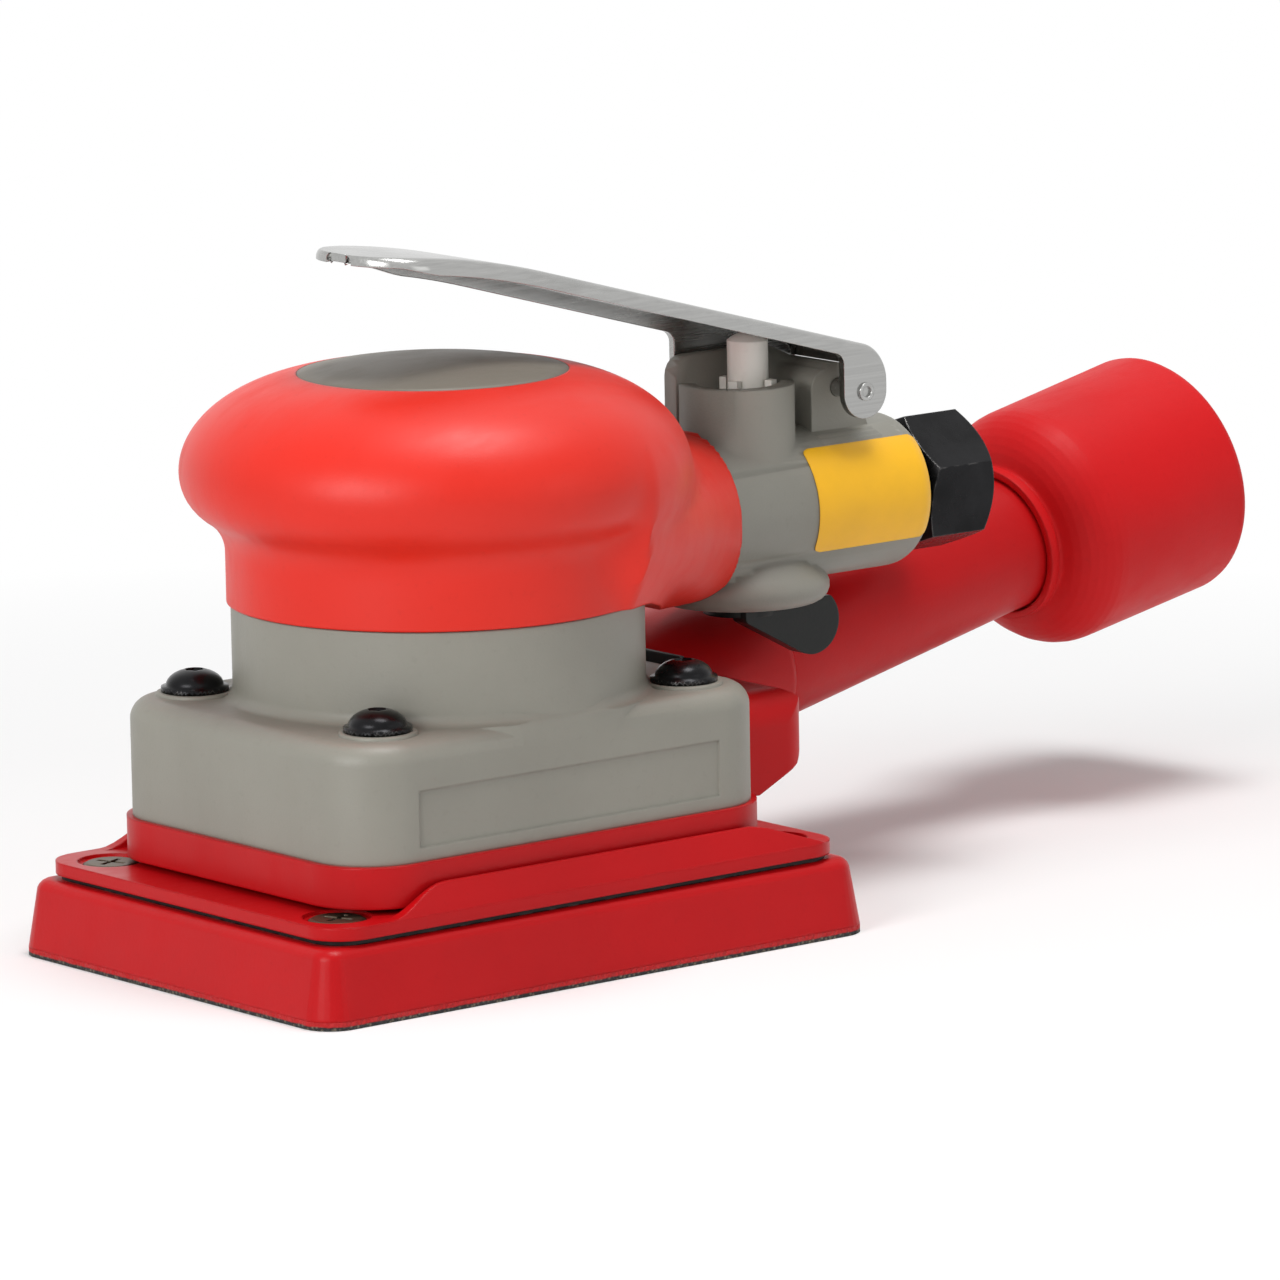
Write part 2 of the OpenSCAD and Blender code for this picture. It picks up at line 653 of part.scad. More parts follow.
// the liner that the rotor turns in, with its bore off centre
module cylinder_liner() {
  color([0.66, 0.67, 0.7]) difference() {
    rod(motor_bore_r - fit, cylinder_z0, cylinder_z1);
    rotate(liner_turn) translate([-rotor_offset, 0, 0])
      rod(cylinder_bore_r, cylinder_z0 - cut, cylinder_z1 + cut);
    locating_hole();
    // inlet port, then exhaust ports
    translate([0, 0, (cylinder_z0 + cylinder_z1) / 2]) {
      rotate([0, 90, 0]) cylinder(r = port_r, h = motor_bore_r);
      for (a = [210, 230, 250]) rotate([0, 90, a]) cylinder(r = port_r, h = motor_bore_r);
    }
  }
}
module rear_end_plate() {
  color([0.62, 0.63, 0.66]) difference() {
    union() {
      rod(motor_bore_r - fit, cylinder_z1, rear_plate_top);
      rod(small_bearing[0] + 3, cylinder_z1, upper_bearing_top);
    }
    rod(small_bearing[0], upper_bearing_z, upper_bearing_top + cut);
    rod(small_bearing[1] + 1 + clear, cylinder_z1 - cut, upper_bearing_top);
    locating_hole();
  }
}
module vane_slots(slot_t, bottom_r, z0, z1) {
  for (i = [0 : vane_count - 1])
    rotate(i * 360 / vane_count) translate([bottom_r, -slot_t / 2, z0])
      cube([rotor_r, slot_t, z1 - z0]);
}
key_w = 2.4;
key_rise = 1.1;
key_turn = 180 / vane_count;
module key_shape(spare) {
  rotate(key_turn) translate([shaft_seat_r - key_rise - spare, -key_w / 2 - spare, 0])
    linear_extrude(cylinder_l - 4 + 2 * spare) square([2 * key_rise + 2 * spare, key_w + 2 * spare]);
}
module rotor() {
  color([0.55, 0.56, 0.6]) difference() {
    ring(rotor_r, shaft_seat_r + running, cylinder_z0 + running, cylinder_z1 - running);
    vane_slots(vane_t + 2 * running, rotor_r - vane_h - 0.5, cylinder_z0 - cut, cylinder_z1 + cut);
    translate([0, 0, cylinder_z0 + 2]) key_shape(running);
  }
}
module rotor_key() {
  color([0.5, 0.5, 0.52]) translate([0, 0, cylinder_z0 + 2]) key_shape(0);
}
// vanes, slid in to the bottom of their slots
module vanes() {
  color([0.35, 0.24, 0.16]) intersection() {
    vane_slots(vane_t, rotor_r - vane_h - 0.4, cylinder_z0 + fit, cylinder_z1 - fit);
    ring(rotor_r - fit, shaft_seat_r, cylinder_z0, cylinder_z1);
  }
}
crank_boss_r = 7.4;
crank_shoulder_r = 6.4;
module on_crank() {
  translate([crank.x, crank.y, 0]) children();
}
// motor shaft with the counterweight and the crank pin in one piece
module shaft_balancer() {
  color([0.45, 0.46, 0.5]) difference() {
    union() {
      rod(small_bearing[1] - press, cylinder_z1, upper_bearing_top + 0.4);
      rod(small_bearing[1] + 1, cylinder_z1, upper_bearing_z);
      rod(shaft_seat_r, lower_bearing_z + big_bearing[2], cylinder_z1);
      rod(big_bearing[1] - press, balancer_z0, cylinder_z0);
      rod(shaft_seat_r, balancer_z0, lower_bearing_z);
      translate([0, 0, balancer_z0]) linear_extrude(balancer_h) {
        circle(shaft_seat_r + 2);
        translate([crank.x, crank.y]) circle(crank_boss_r);
        intersection() {
          circle(balancer_r);
          rotate(crank_angle) translate([-balancer_r, 0]) square(2 * balancer_r, center = true);
        }
      }
      on_crank() {
        rod(crank_shoulder_r, spindle_bearing_top, balancer_z0 + cut);
        rod(big_bearing[1] - press, spindle_bearing_z + 0.4, balancer_z0 + cut);
      }
    }
    translate([0, 0, cylinder_z0 + 2]) key_shape(running);
    // tapped hole of the crank screw
    on_crank() rod(2 + fit, spindle_bearing_z, spindle_bearing_z + 9);
    // bite out of the crank's side, for balance
    rotate(crank_angle) translate([0, 0, balancer_z0 + balancer_h - 2.4])
      ring(balancer_r - 2, shaft_seat_r + 5, 0, 3);
  }
}
module crank_screw() {
  color([0.2, 0.2, 0.21]) on_crank() difference() {
    union() {
      rod(6.6, spindle_bearing_z - 0.9, spindle_bearing_z - press);
      rod(3.6, spindle_bearing_z - 3, spindle_bearing_z - 0.8);
      rod(2, spindle_bearing_z - cut, spindle_bearing_z + 8.6);
    }
    translate([0, 0, spindle_bearing_z - 3 - cut]) cylinder(r = 1.7, h = 1.5 + cut, $fn = 6);
  }
}
module upper_bearing_outer() {
  color([0.72, 0.72, 0.74]) translate([0, 0, upper_bearing_z]) bearing_outer(small_bearing);
}
module upper_bearing_inner() {
  color([0.72, 0.72, 0.74]) translate([0, 0, upper_bearing_z]) bearing_inner(small_bearing);
}
module upper_bearing_balls() {
  color([0.8, 0.8, 0.82]) translate([0, 0, upper_bearing_z]) bearing_balls(small_bearing);
}
module lower_bearing_outer() {
  color([0.72, 0.72, 0.74]) translate([0, 0, lower_bearing_z]) bearing_outer(big_bearing);
}
module lower_bearing_inner() {
  color([0.72, 0.72, 0.74]) translate([0, 0, lower_bearing_z]) bearing_inner(big_bearing);
}
module lower_bearing_balls() {
  color([0.8, 0.8, 0.82]) translate([0, 0, lower_bearing_z]) bearing_balls(big_bearing);
}
module spindle_bearing_outer() {
  color([0.72, 0.72, 0.74]) on_crank() translate([0, 0, spindle_bearing_z]) bearing_outer(big_bearing);
}
module spindle_bearing_inner() {
  color([0.72, 0.72, 0.74]) on_crank() translate([0, 0, spindle_bearing_z]) bearing_inner(big_bearing);
}
module spindle_bearing_balls() {
  color([0.8, 0.8, 0.82]) on_crank() translate([0, 0, spindle_bearing_z]) bearing_balls(big_bearing);
}

// ------------------------------------------------------------- throttle
module on_stem() {
  translate([stem_x, 0, 0]) children();
}
guide_z0 = barrel_z + 6;
guide_tab_w = 1.6;
module valve_guide() {
  color([0.92, 0.91, 0.88]) on_stem() {
    ring(stem_bore_r, stem_r + running, guide_z0, tower_floor_z + 0.9);
    ring(guide_rim_r, stem_bore_r - fit, tower_floor_z + press, tower_floor_z + 0.9);
    // snap tabs round the stem
    for (a = [20 : 90 : 290]) rotate(a) intersection() {
      ring(guide_rim_r - 0.2, stem_r + 0.35, tower_floor_z + 0.5, tower_z + 0.5);
      translate([0, -guide_tab_w / 2, 0]) cube([tower_r, guide_tab_w, tower_z + 2]);
    }
  }
}
seal_r = 0.52;
module stem_seal() {
  color([0.1, 0.1, 0.1]) on_stem() translate([0, 0, guide_z0 - seal_r - press])
    rotate_extrude() translate([stem_r + running + seal_r, 0]) circle(seal_r);
}
module valve_stem() {
  dome_z = lever_z(stem_x) - lever_t / cos(lever_slope) - (stem_dome_r + 0.3) / cos(lever_slope);
  dome_a = acos(stem_r / stem_dome_r);
  color([0.93, 0.92, 0.89]) on_stem() rotate_extrude() polygon(concat(
    [[0, stem_bottom_z], [stem_nose_r, stem_bottom_z], [stem_nose_r + 0.3, stem_bottom_z + 2],
      [stem_r, stem_bottom_z + 3]],
    [for (i = [0 : 6]) let (a = dome_a + (90 - dome_a) * i / 6)
      [i == 6 ? 0 : stem_dome_r * cos(a), dome_z + stem_dome_r * sin(a)]]));
}
tip_x0 = chamber_x + seat_t + press;
tip_head_r = chamber_r - 1.4;
module valve_seat() {
  color([0.75, 0.63, 0.35]) barrel_turn([[3.4, chamber_x], [chamber_r - fit, chamber_x],
    [chamber_r - fit, chamber_x + seat_t], [3.4, chamber_x + seat_t]]);
}
module tip_valve() {
  color([0.75, 0.63, 0.35]) barrel_turn([[0, speed_x], [tip_rod_r, speed_x], [tip_rod_r, tip_x0],
    [tip_head_r, tip_x0], [tip_head_r, tip_x0 + tip_head_t], [0, tip_x0 + tip_head_t]]);
}
bushing_x0 = barrel_x - bushing_thread_l + fit;
screen_x0 = bushing_x0 - screen_t;
spring_wire_r = 0.3;
module valve_spring() {
  turns = 3;
  per_turn = 14;
  sides = 6;
  x0 = tip_x0 + tip_head_t + spring_wire_r + press;
  x1 = screen_x0 - spring_wire_r - press;
  steps = turns * per_turn;
  points = [for (i = [0 : steps]) let (t = i / steps, a = 360 * i / per_turn, r = 2.6 + 2 * t)
    for (j = [0 : sides - 1]) let (b = 360 * j / sides, q = r + spring_wire_r * cos(b))
      [x0 + (x1 - x0) * t + spring_wire_r * sin(b), q * cos(a), barrel_z + q * sin(a)]];
  side_faces = [for (i = [0 : steps - 1], j = [0 : sides - 1]) let (k = (j + 1) % sides)
    [i * sides + j, i * sides + k, (i + 1) * sides + k, (i + 1) * sides + j]];
  color([0.7, 0.7, 0.72]) polyhedron(points, concat(
    [[for (j = [0 : sides - 1]) sides - 1 - j]], side_faces,
    [[for (j = [0 : sides - 1]) steps * sides + j]]), convexity = 6);
}
module inlet_screen() {
  color([0.7, 0.68, 0.6]) difference() {
    barrel_turn([[0, screen_x0], [chamber_r - fit, screen_x0], [chamber_r - fit, bushing_x0 - press],
      [0, bushing_x0 - press]]);
    for (i = [0 : 5]) translate([screen_x0 - cut, 0, barrel_z]) rotate([60 * i, 0, 0])
      translate([0, 3, 0]) rotate([0, 90, 0]) cylinder(r = 0.9, h = screen_t + 2 * cut);
  }
}
seal_t = 0.7;
hex_x0 = barrel_x + seal_t + 2 * press;
hex_x1 = hex_x0 + hex_l;
hex_turn = 10;
// the bore behind the thread is a little wider
inlet_relief_r = inlet_r + 0.3;
hex_corner_r = hex_af / 2 / cos(30);
module inlet_bushing() {
  color([0.13, 0.13, 0.14]) difference() {
    union() {
      intersection() {
        translate([hex_x0, 0, barrel_z]) rotate([hex_turn, 0, 0]) rotate([0, 90, 0])
          cylinder(r = hex_corner_r, h = hex_l, $fn = 6);
        barrel_turn([[0, hex_x0], [hex_af / 2, hex_x0], [hex_corner_r + fit, hex_x0 + 1],
          [hex_corner_r + fit, hex_x1 - 1.4], [hex_af / 2 - 0.3, hex_x1], [0, hex_x1]]);
      }
      barrel_turn([[0, bushing_x0], [bushing_thread_r, bushing_x0], [bushing_thread_r, hex_x0 + cut],
        [0, hex_x0 + cut]]);
    }
    barrel_turn([[0, bushing_x0 - cut], [inlet_relief_r, bushing_x0 - cut],
      [inlet_relief_r, hex_x1 - inlet_depth],
      [inlet_r, hex_x1 - inlet_depth], [inlet_r, hex_x1 + cut], [0, hex_x1 + cut]]);
  }
}
module inlet_seal() {
  color([0.1, 0.1, 0.1]) barrel_turn([[bushing_thread_r + fit, barrel_x + press],
    [hex_af / 2 - 0.4, barrel_x + press], [hex_af / 2 - 0.4, barrel_x + seal_t],
    [bushing_thread_r + fit, barrel_x + seal_t]]);
}
module lever_pin() {
  pin_l = lever_w + 0.8;
  color([0.7, 0.7, 0.72]) translate([hinge_x, pin_l / 2, hinge_z]) rotate([90, 0, 0])
    difference() {
      cylinder(r = pin_r - press, h = pin_l);
      translate([0, 0, -cut]) cylinder(r = pin_r * 0.6, h = pin_l + 2 * cut);
    }
}

// top line of the lever's plate: straight, with a tip that flattens out
lever_bend_x = 13.4;
tip_flatness = 0.88;
lip_taper = 0.18;
tip_run = lever_tip_x + lever_bend_x;
function lever_z(x) = let (d = max(0, lever_bend_x - x))
  hinge_z + lever_rise + (hinge_x - x) * tan(lever_slope)
    - tan(lever_slope) * tip_flatness * d * d / 2 / tip_run;
function lip_at(x, lip) = min(lip, lever_t + 0.3 + max(0, x + lever_tip_x - 4) * lip_taper);
lever_steps = 14;
lever_xs = concat([for (i = [0 : lever_steps]) -lever_tip_x + tip_run * i / lever_steps],
  [stem_x / 2, stem_x]);
lever_back_x = hinge_x + ear_r;
rear_round = 3;
lever_rear = arc([lever_back_x - rear_round, lever_z(lever_back_x - rear_round) - rear_round],
  rear_round, 90, 0, 5);
module lever_band(lip) {
  polygon(concat([for (x = lever_xs) [x, lever_z(x)]], lever_rear,
    [[lever_back_x, hinge_z + lever_rise - lip - 2],
      [lever_back_x - lever_t - 1, hinge_z + lever_rise - lip]],
    [for (i = [len(lever_xs) - 1 : -1 : 0]) let (x = lever_xs[i])
      [x, lever_z(x) - lip_at(x, lip)]]));
}
module lever_plate_outline() {
  polygon(concat([for (x = lever_xs) [x, lever_z(x)]], lever_rear,
    [[lever_back_x - lever_t, lever_rear[5].y],
      [lever_back_x - rear_round, lever_z(lever_back_x - rear_round) - lever_t]],
    [for (i = [len(lever_xs) - 1 : -1 : 0]) let (x = lever_xs[i]) [x, lever_z(x) - lever_t]]));
}
module lever_ear() {
  hollow = 1.6;
  top_z = lever_z(hinge_x - ear_r) - lip_h;
  translate([hinge_x, hinge_z]) circle(ear_r);
  polygon(concat([[hinge_x - ear_r, hinge_z], [hinge_x + ear_r, hinge_z],
    [hinge_x + ear_r, hinge_z + 4], [hinge_x, top_z + cut], [hinge_x - ear_r - hollow, top_z + cut]],
    arc([hinge_x - ear_r - hollow, top_z - hollow], hollow, 90, 0, 4)));
}
// the deep side beside the valve stem
module far_side() {
  foot_z = hinge_z - 0.8;
  polygon(concat([[hinge_x - far_wing_x, lever_z(hinge_x - far_wing_x) - lever_t]],
    arc([hinge_x - far_wing_x + 3, foot_z + 3], 3, 180, 270, 5),
    [[hinge_x, foot_z], [hinge_x, lever_z(hinge_x) - lever_t]]));
}
module across(y0, y1) {
  translate([0, y1, 0]) rotate([90, 0, 0]) linear_extrude(y1 - y0) children();
}
module throttle_lever() {
  // plan radius of the tip's corners
  tip_r = 8.5;
  half = lever_w / 2;
  color([0.78, 0.79, 0.8]) difference() {
    intersection() {
      union() {
        across(-half, half) lever_plate_outline();
        across(-half, lever_t - half) {
          lever_band(lip_h);
          lever_ear();
        }
        across(half - lever_t, half) {
          lever_band(far_lip_h);
          lever_ear();
          far_side();
        }
      }
      translate([(lever_back_x - lever_tip_x) / 2 + tip_r, 0, 0]) linear_extrude(hinge_z + 60)
        rounded_rect(lever_back_x + lever_tip_x + 2 * tip_r, lever_w, tip_r);
    }
    translate([hinge_x, half + cut, hinge_z]) rotate([90, 0, 0])
      cylinder(r = pin_r + running, h = lever_w + 2 * cut);
  }
}

// ------------------------------------------------------------- speed control
fin_y = -4;
fin_round = 5;
fin_front = 3.7;
fin_gap = 0.2;
flange_r = 5.8;
flange_t = 1.6;
speed_rod_r = 4.5;
module speed_control() {
  fin_top = speed_boss_z - fin_gap;
  front_x = speed_x - fin_front;
  color([0.12, 0.13, 0.13]) {
    translate([speed_x, 0, 0]) {
      rod(speed_rod_r - running, fin_top - cut, barrel_z - 3.4);
      rod(flange_r, fin_top - flange_t, fin_top);
    }
    intersection() {
      across(fin_y - fin_t / 2, fin_y + fin_t / 2) hull() {
        translate([front_x + fin_l - fin_round, fin_top - fin_h + fin_round]) circle(fin_round);
        translate([front_x + 1, fin_top - flange_t]) circle(1);
        translate([front_x + 1, fin_top]) circle(1);
      }
      translate([front_x - cut, -fin_l, 0]) cube([fin_l + 2 * cut, 2 * fin_l, fin_top]);
    }
  }
}
module speed_seal() {
  color([0.1, 0.1, 0.1]) translate([speed_x, 0, speed_boss_z - fin_gap / 2]) rotate_extrude()
    translate([flange_r, 0]) circle(fin_gap / 2 - press);
}

// ------------------------------------------------------------- exhaust and extraction
elbow_wall = 2;
elbow_round = 5;
elbow_y0 = -12.4;
elbow_y1 = 30;
gasket_t = 0.8;
elbow_x0 = shroud_l / 2 + gasket_t + 2 * press;
elbow_low_x0 = shroud_l / 2 + skirt_proud + clear;
elbow_x1 = elbow_x0 + elbow_l;
elbow_z0 = skirt_z0 + 2.4;
elbow_step_z = shroud_z0 + 0.4;
elbow_top = shroud_z0 + elbow_rise;
elbow_r = tube_r + 1;
mouth_round = 1.4;
socket_depth = 6;
spigot_tube_r = tube_r - 0.9;
elbow_chamfer_x = [10.5, 2.6, 0.6];
elbow_chamfer_z = [3.8, 6.4, 9];
module elbow_outline(inset) {
  polygon(concat([[elbow_x0 - cut * inset, elbow_top - inset],
    [elbow_x0 - cut * inset, elbow_step_z + inset], [elbow_low_x0 + inset, elbow_step_z + inset],
    [elbow_low_x0 + inset, elbow_z0 + inset], [elbow_x1 - elbow_chamfer_x[0], elbow_z0 + inset],
    [elbow_x1 - elbow_chamfer_x[1] - inset * 0.6, elbow_z0 + elbow_chamfer_z[0] + inset],
    [elbow_x1 - elbow_chamfer_x[2] - inset, elbow_z0 + elbow_chamfer_z[1] + inset * 0.4],
    [elbow_x1 - inset, elbow_z0 + elbow_chamfer_z[2]]],
    arc([elbow_x1 - elbow_round, elbow_top - elbow_round], elbow_round - inset, 0, 90, 5)));
}
module elbow_box(inset) {
  corner = elbow_round - inset;
  w = elbow_y1 - elbow_y0 - 2 * inset;
  long = 2 * (elbow_x1 - inset);
  tall = 2 * (elbow_top - inset);
  intersection() {
    across(elbow_y0 + inset, elbow_y1 - inset) elbow_outline(inset);
    // upright corners at the rear
    translate([0, (elbow_y0 + elbow_y1) / 2, 0]) linear_extrude(shroud_top) rounded_rect(long, w, corner);
    // long edges of the top
    translate([0, (elbow_y0 + elbow_y1) / 2, 0]) rotate([90, 0, 90]) linear_extrude(tube_x)
      rounded_rect(w, tall, corner);
  }
}
// the round part, from the box to the tube's socket
module elbow_round_part(inset) {
  back = socket_back + 30.5 - inset;
  r = elbow_r - inset;
  intersection() {
    tube_turn(inset == 0 ?
      concat([[0, -back], [r, -back]],
        arc([r - mouth_round, -socket_back - mouth_round], mouth_round, 0, 90, 4), [[0, -socket_back]]) :
      [[0, -back], [r, -back], [r, -socket_back - socket_depth], [0, -socket_back - socket_depth]]);
    translate([elbow_x0 + inset, elbow_y0, elbow_z0 + inset]) cube([tube_x, tube_x, tube_x]);
  }
}
module exhaust_elbow() {
  lip = 1.4;
  color([0.8, 0.14, 0.15]) difference() {
    union() {
      elbow_box(0);
      elbow_round_part(0);
      // spigot in the shroud's port
      translate([shroud_l / 2 - shroud_wall, port_y - port_w / 2 + fit, port_z0 + fit])
        cube([shroud_wall + elbow_wall + gasket_t, port_w - 2 * fit, port_z1 - port_z0 - 2 * fit]);
    }
    elbow_box(elbow_wall);
    elbow_round_part(elbow_wall);
    tube_turn([[0, -socket_back - socket_depth - cut], [spigot_tube_r + fit - 1, -socket_back - socket_depth - cut],
      [spigot_tube_r + fit, -socket_back - socket_depth], [spigot_tube_r + fit, cut - socket_back],
      [0, cut - socket_back]]);
    translate([shroud_l / 2 - shroud_wall - cut, port_y - port_w / 2 + lip, port_z0 + lip])
      cube([shroud_wall + elbow_wall + gasket_t + 3, port_w - 2 * lip, port_z1 - port_z0 - 2 * lip]);
    // relief under the speed control and its boss
    translate([speed_x, 0, 0]) {
      rod(speed_boss_r + clear, speed_boss_z - clear, sleeve_top);
      rod(flange_r + clear, speed_boss_z - fin_gap - flange_t - clear, sleeve_top);
    }
  }
}
module elbow_gasket() {
  color([0.12, 0.12, 0.12]) translate([shroud_l / 2 + press, 0, 0]) difference() {
    translate([0, port_y - port_w / 2 - 2.4, port_z0 - 2]) cube([gasket_t, port_w + 4.8, port_z1 - port_z0 + 4]);
    translate([-cut, port_y - port_w / 2 - fit, port_z0 - fit])
      cube([gasket_t + 2 * cut, port_w + 2 * fit, port_z1 - port_z0 + 2 * fit]);
  }
}
// places along the tube
rib_s = cuff_start + 3;
rib_w = 3;
bead_w = 2.6;
tube_end_s = rib_s + rib_w + 2 * clear + bead_w;
cuff_end_s = cuff_start + cuff_l;
module exhaust_tube() {
  color([0.8, 0.14, 0.15]) tube_turn([
    [spigot_tube_r - tube_wall, 0.4 - socket_back - socket_depth],
    [spigot_tube_r, 0.4 - socket_back - socket_depth], [spigot_tube_r, press - socket_back],
    [tube_r, press - socket_back], [tube_r, 2 - socket_back], [tube_end_r, cuff_start - 4],
    [tube_end_r, rib_s - clear], [tube_end_r - 0.6, rib_s - clear],
    [tube_end_r - 0.6, rib_s + rib_w + clear], [tube_end_r, rib_s + rib_w + clear],
    [tube_end_r - 0.5, tube_end_s], [tube_end_r - 0.6 - tube_wall, tube_end_s],
    [tube_end_r - 0.6 - tube_wall, cuff_start - 4]]);
}
module hose_cuff() {
  neck_out = tube_end_r + 1.5;
  end_round = 1.6;
  draft = 0.3;
  color([0.86, 0.16, 0.15]) tube_turn(concat(
    [[tube_end_r + clear, cuff_start], [neck_out, cuff_start], [neck_out, cuff_start + 1.6]],
    [[neck_out - 0.4, cuff_start + 2], [neck_out, cuff_start + 2.4]],
    arc([cuff_r - cuff_shoulder_r, cuff_start + 2.4 + cuff_shoulder_r], cuff_shoulder_r, -78, 0, 8),
    arc([cuff_r + draft - end_round, cuff_end_s - end_round], end_round, 0, 90, 4),
    [[hose_r, cuff_end_s], [hose_r, cuff_end_s - hose_depth],
      [tube_end_r - 1.5, cuff_end_s - hose_depth], [tube_end_r - 1.5, tube_end_s + clear],
      [tube_end_r + clear, tube_end_s + clear], [tube_end_r + clear, rib_s + rib_w],
      [tube_end_r - 0.3, rib_s + rib_w], [tube_end_r - 0.3, rib_s], [tube_end_r + clear, rib_s]]));
}

// ------------------------------------------------------------- posts and pad
post_gap = 0.15;
post_hole_r = 2.3;
post_screw_r = 2.2;
post_end_h = 3;
post_z0 = ledge_z + post_gap;
module posts() {
  color([0.09, 0.09, 0.09]) at_corners(post_x, post_y) difference() {
    hull() {
      translate([crank.x, crank.y, 0]) rod(post_waist_r, post_z0 + 1, post_z0 + post_end_h, $fn = 24);
      rod(post_waist_r, ceiling_z - post_end_h, ceiling_z - 1, $fn = 24);
    }
    rod(post_hole_r, ceiling_z - 9, ceiling_z);
    translate([crank.x, crank.y, 0]) rod(post_hole_r, 0, post_z0 + 8);
  }
  color([0.09, 0.09, 0.09]) at_corners(post_x, post_y) {
    ring(post_r, post_hole_r, ceiling_z - post_end_h, ceiling_z - press);
    translate([crank.x, crank.y, 0]) ring(post_r, post_hole_r, post_z0, post_z0 + post_end_h);
  }
}
module post_screws() {
  seat = post_seat_z + press;
  color([0.08, 0.08, 0.09]) at_corners(post_x, post_y) difference() {
    union() {
      translate([0, 0, seat]) rotate_extrude() polygon(concat([[0, 0], [post_head_r, 0], [post_head_r, 0.7]],
        [for (i = [0 : 7]) [(post_head_r - 0.7) * cos(90 * i / 8), 0.8 + (post_head_h - 0.8) * sin(90 * i / 8)]],
        [[0, post_head_h]]));
      rod(post_screw_r, ceiling_z - 8, seat + cut);
    }
    translate([0, 0, seat + post_head_h - 1.8]) cylinder(r = 1.5, h = 3, $fn = 6);
  }
}
module lower_post_screws() {
  color([0.3, 0.3, 0.32]) on_crank() at_corners(post_x, post_y) {
    translate([0, 0, carrier_z0 + press]) rotate_extrude()
      polygon([[0, 0], [3.8, 0], [3.8, 0.2], [post_screw_r, 1.6], [post_screw_r, 8], [0, 8]]);
  }
}
// two pairs of dust holes across the pad, and two on its long middle line
dust_corner_x = 16;
dust_corner_y = 23;
dust_middle_x = 28.6;
module dust_holes(z0, z1) {
  at_corners(dust_corner_x, dust_corner_y) rod(dust_hole_r, z0, z1);
  for (sx = [-1, 1]) translate([sx * dust_middle_x, 0, 0]) rod(dust_hole_r, z0, z1);
}
// pad screws: head and shank radius, depths of the head's rim and of its cone's foot below the ledge
screw_head_r = 4.2;
screw_r = 2;
screw_rim_depth = 0.5;
screw_cone_depth = 2;
// the side wings' line along the carrier, rising from the ledges
wing_rise = wing_h - floor_t;
// distances from the carrier's ends: start and end of the front rise, top and foot of the rear one
wing_front = [10.5, 21.5];
wing_rear = [17, 14, 3.5];
module wing_line() {
  steps = 8;
  end_x = carrier_l / 2;
  front = [for (i = [0 : steps])
    [wing_front[0] - end_x + (wing_front[1] - wing_front[0]) * i / steps,
      ledge_z + wing_rise * (1 - cos(180 * i / steps)) / 2]];
  polygon(concat([[-carrier_l / 2, carrier_z0], [-carrier_l / 2, ledge_z]], front,
    [[end_x - wing_rear[0], ledge_z + wing_rise], [end_x - wing_rear[1], ledge_z + wing_rise * 0.86],
      [end_x - wing_rear[2], ledge_z],
      [carrier_l / 2, ledge_z], [carrier_l / 2, carrier_z0]]));
}
wing_in = shroud_w / 2 + skirt_proud + orbit_r + clear;
module wing_section() {
  for (s = [-1, 1]) polygon([[s * wing_in, carrier_z0], [s * carrier_w / 2, carrier_z0],
    [s * carrier_w / 2, carrier_z0 + 1.4], [s * (wing_in + wing_flat), carrier_z0 + wing_h],
    [s * wing_in, carrier_z0 + wing_h]]);
}
module carrier() {
  color([0.78, 0.13, 0.14]) on_crank() difference() {
    union() {
      rounded_plate(carrier_l, carrier_w, 6, carrier_z0, ledge_z);
      intersection() {
        across(-carrier_w, carrier_w) wing_line();
        rotate([90, 0, 90]) translate([0, 0, -carrier_l]) linear_extrude(2 * carrier_l) wing_section();
        rounded_plate(carrier_l, carrier_w, 6, carrier_z0, carrier_z0 + wing_h);
      }
      rod(hub_r, carrier_z0, hub_top);
    }
    rod(big_bearing[0], spindle_bearing_z, hub_top + cut);
    rod(big_bearing[0] - 2, carrier_z0 - cut, hub_top);
    rod(big_bearing[0] + 0.9, spindle_bearing_top, spindle_bearing_top + circlip_t + 0.1);
    dust_holes(carrier_z0 - cut, ledge_z + cut);
    at_corners(pad_screw_x, pad_screw_y) {
      rod(screw_head_r + 0.8, ledge_z - screw_rim_depth, ledge_z + wing_h);
      rod(screw_r + fit, carrier_z0 - cut, ledge_z);
      translate([0, 0, ledge_z - screw_cone_depth])
        cylinder(r1 = screw_r + fit, r2 = screw_head_r + fit, h = screw_cone_depth - screw_rim_depth);
    }
    at_corners(post_x, post_y) {
      rod(post_screw_r + 0.1, carrier_z0 - cut, ledge_z + cut);
      translate([0, 0, carrier_z0 - cut]) cylinder(r = 3.9, h = cut + 0.25);
      translate([0, 0, carrier_z0 + 0.25]) cylinder(r1 = 3.9, r2 = post_screw_r + 0.1, h = 1.4);
    }
  }
}
module bearing_circlip() {
  color([0.3, 0.3, 0.32]) on_crank() difference() {
    ring(big_bearing[0] + 0.8, big_bearing[0] - 1.6, spindle_bearing_top + press,
      spindle_bearing_top + circlip_t);
    translate([0, -3, 0]) cube([hub_r, 6, shroud_top]);
  }
}
module backing_plate() {
  color([0.2, 0.19, 0.18]) on_crank() difference() {
    rounded_plate(carrier_l - 1.8, carrier_w - 1.8, 5, plate_z0, carrier_z0);
    dust_holes(0, carrier_z0 + cut);
    at_corners(pad_screw_x, pad_screw_y) rod(screw_r + fit, 0, carrier_z0 + cut);
  }
}
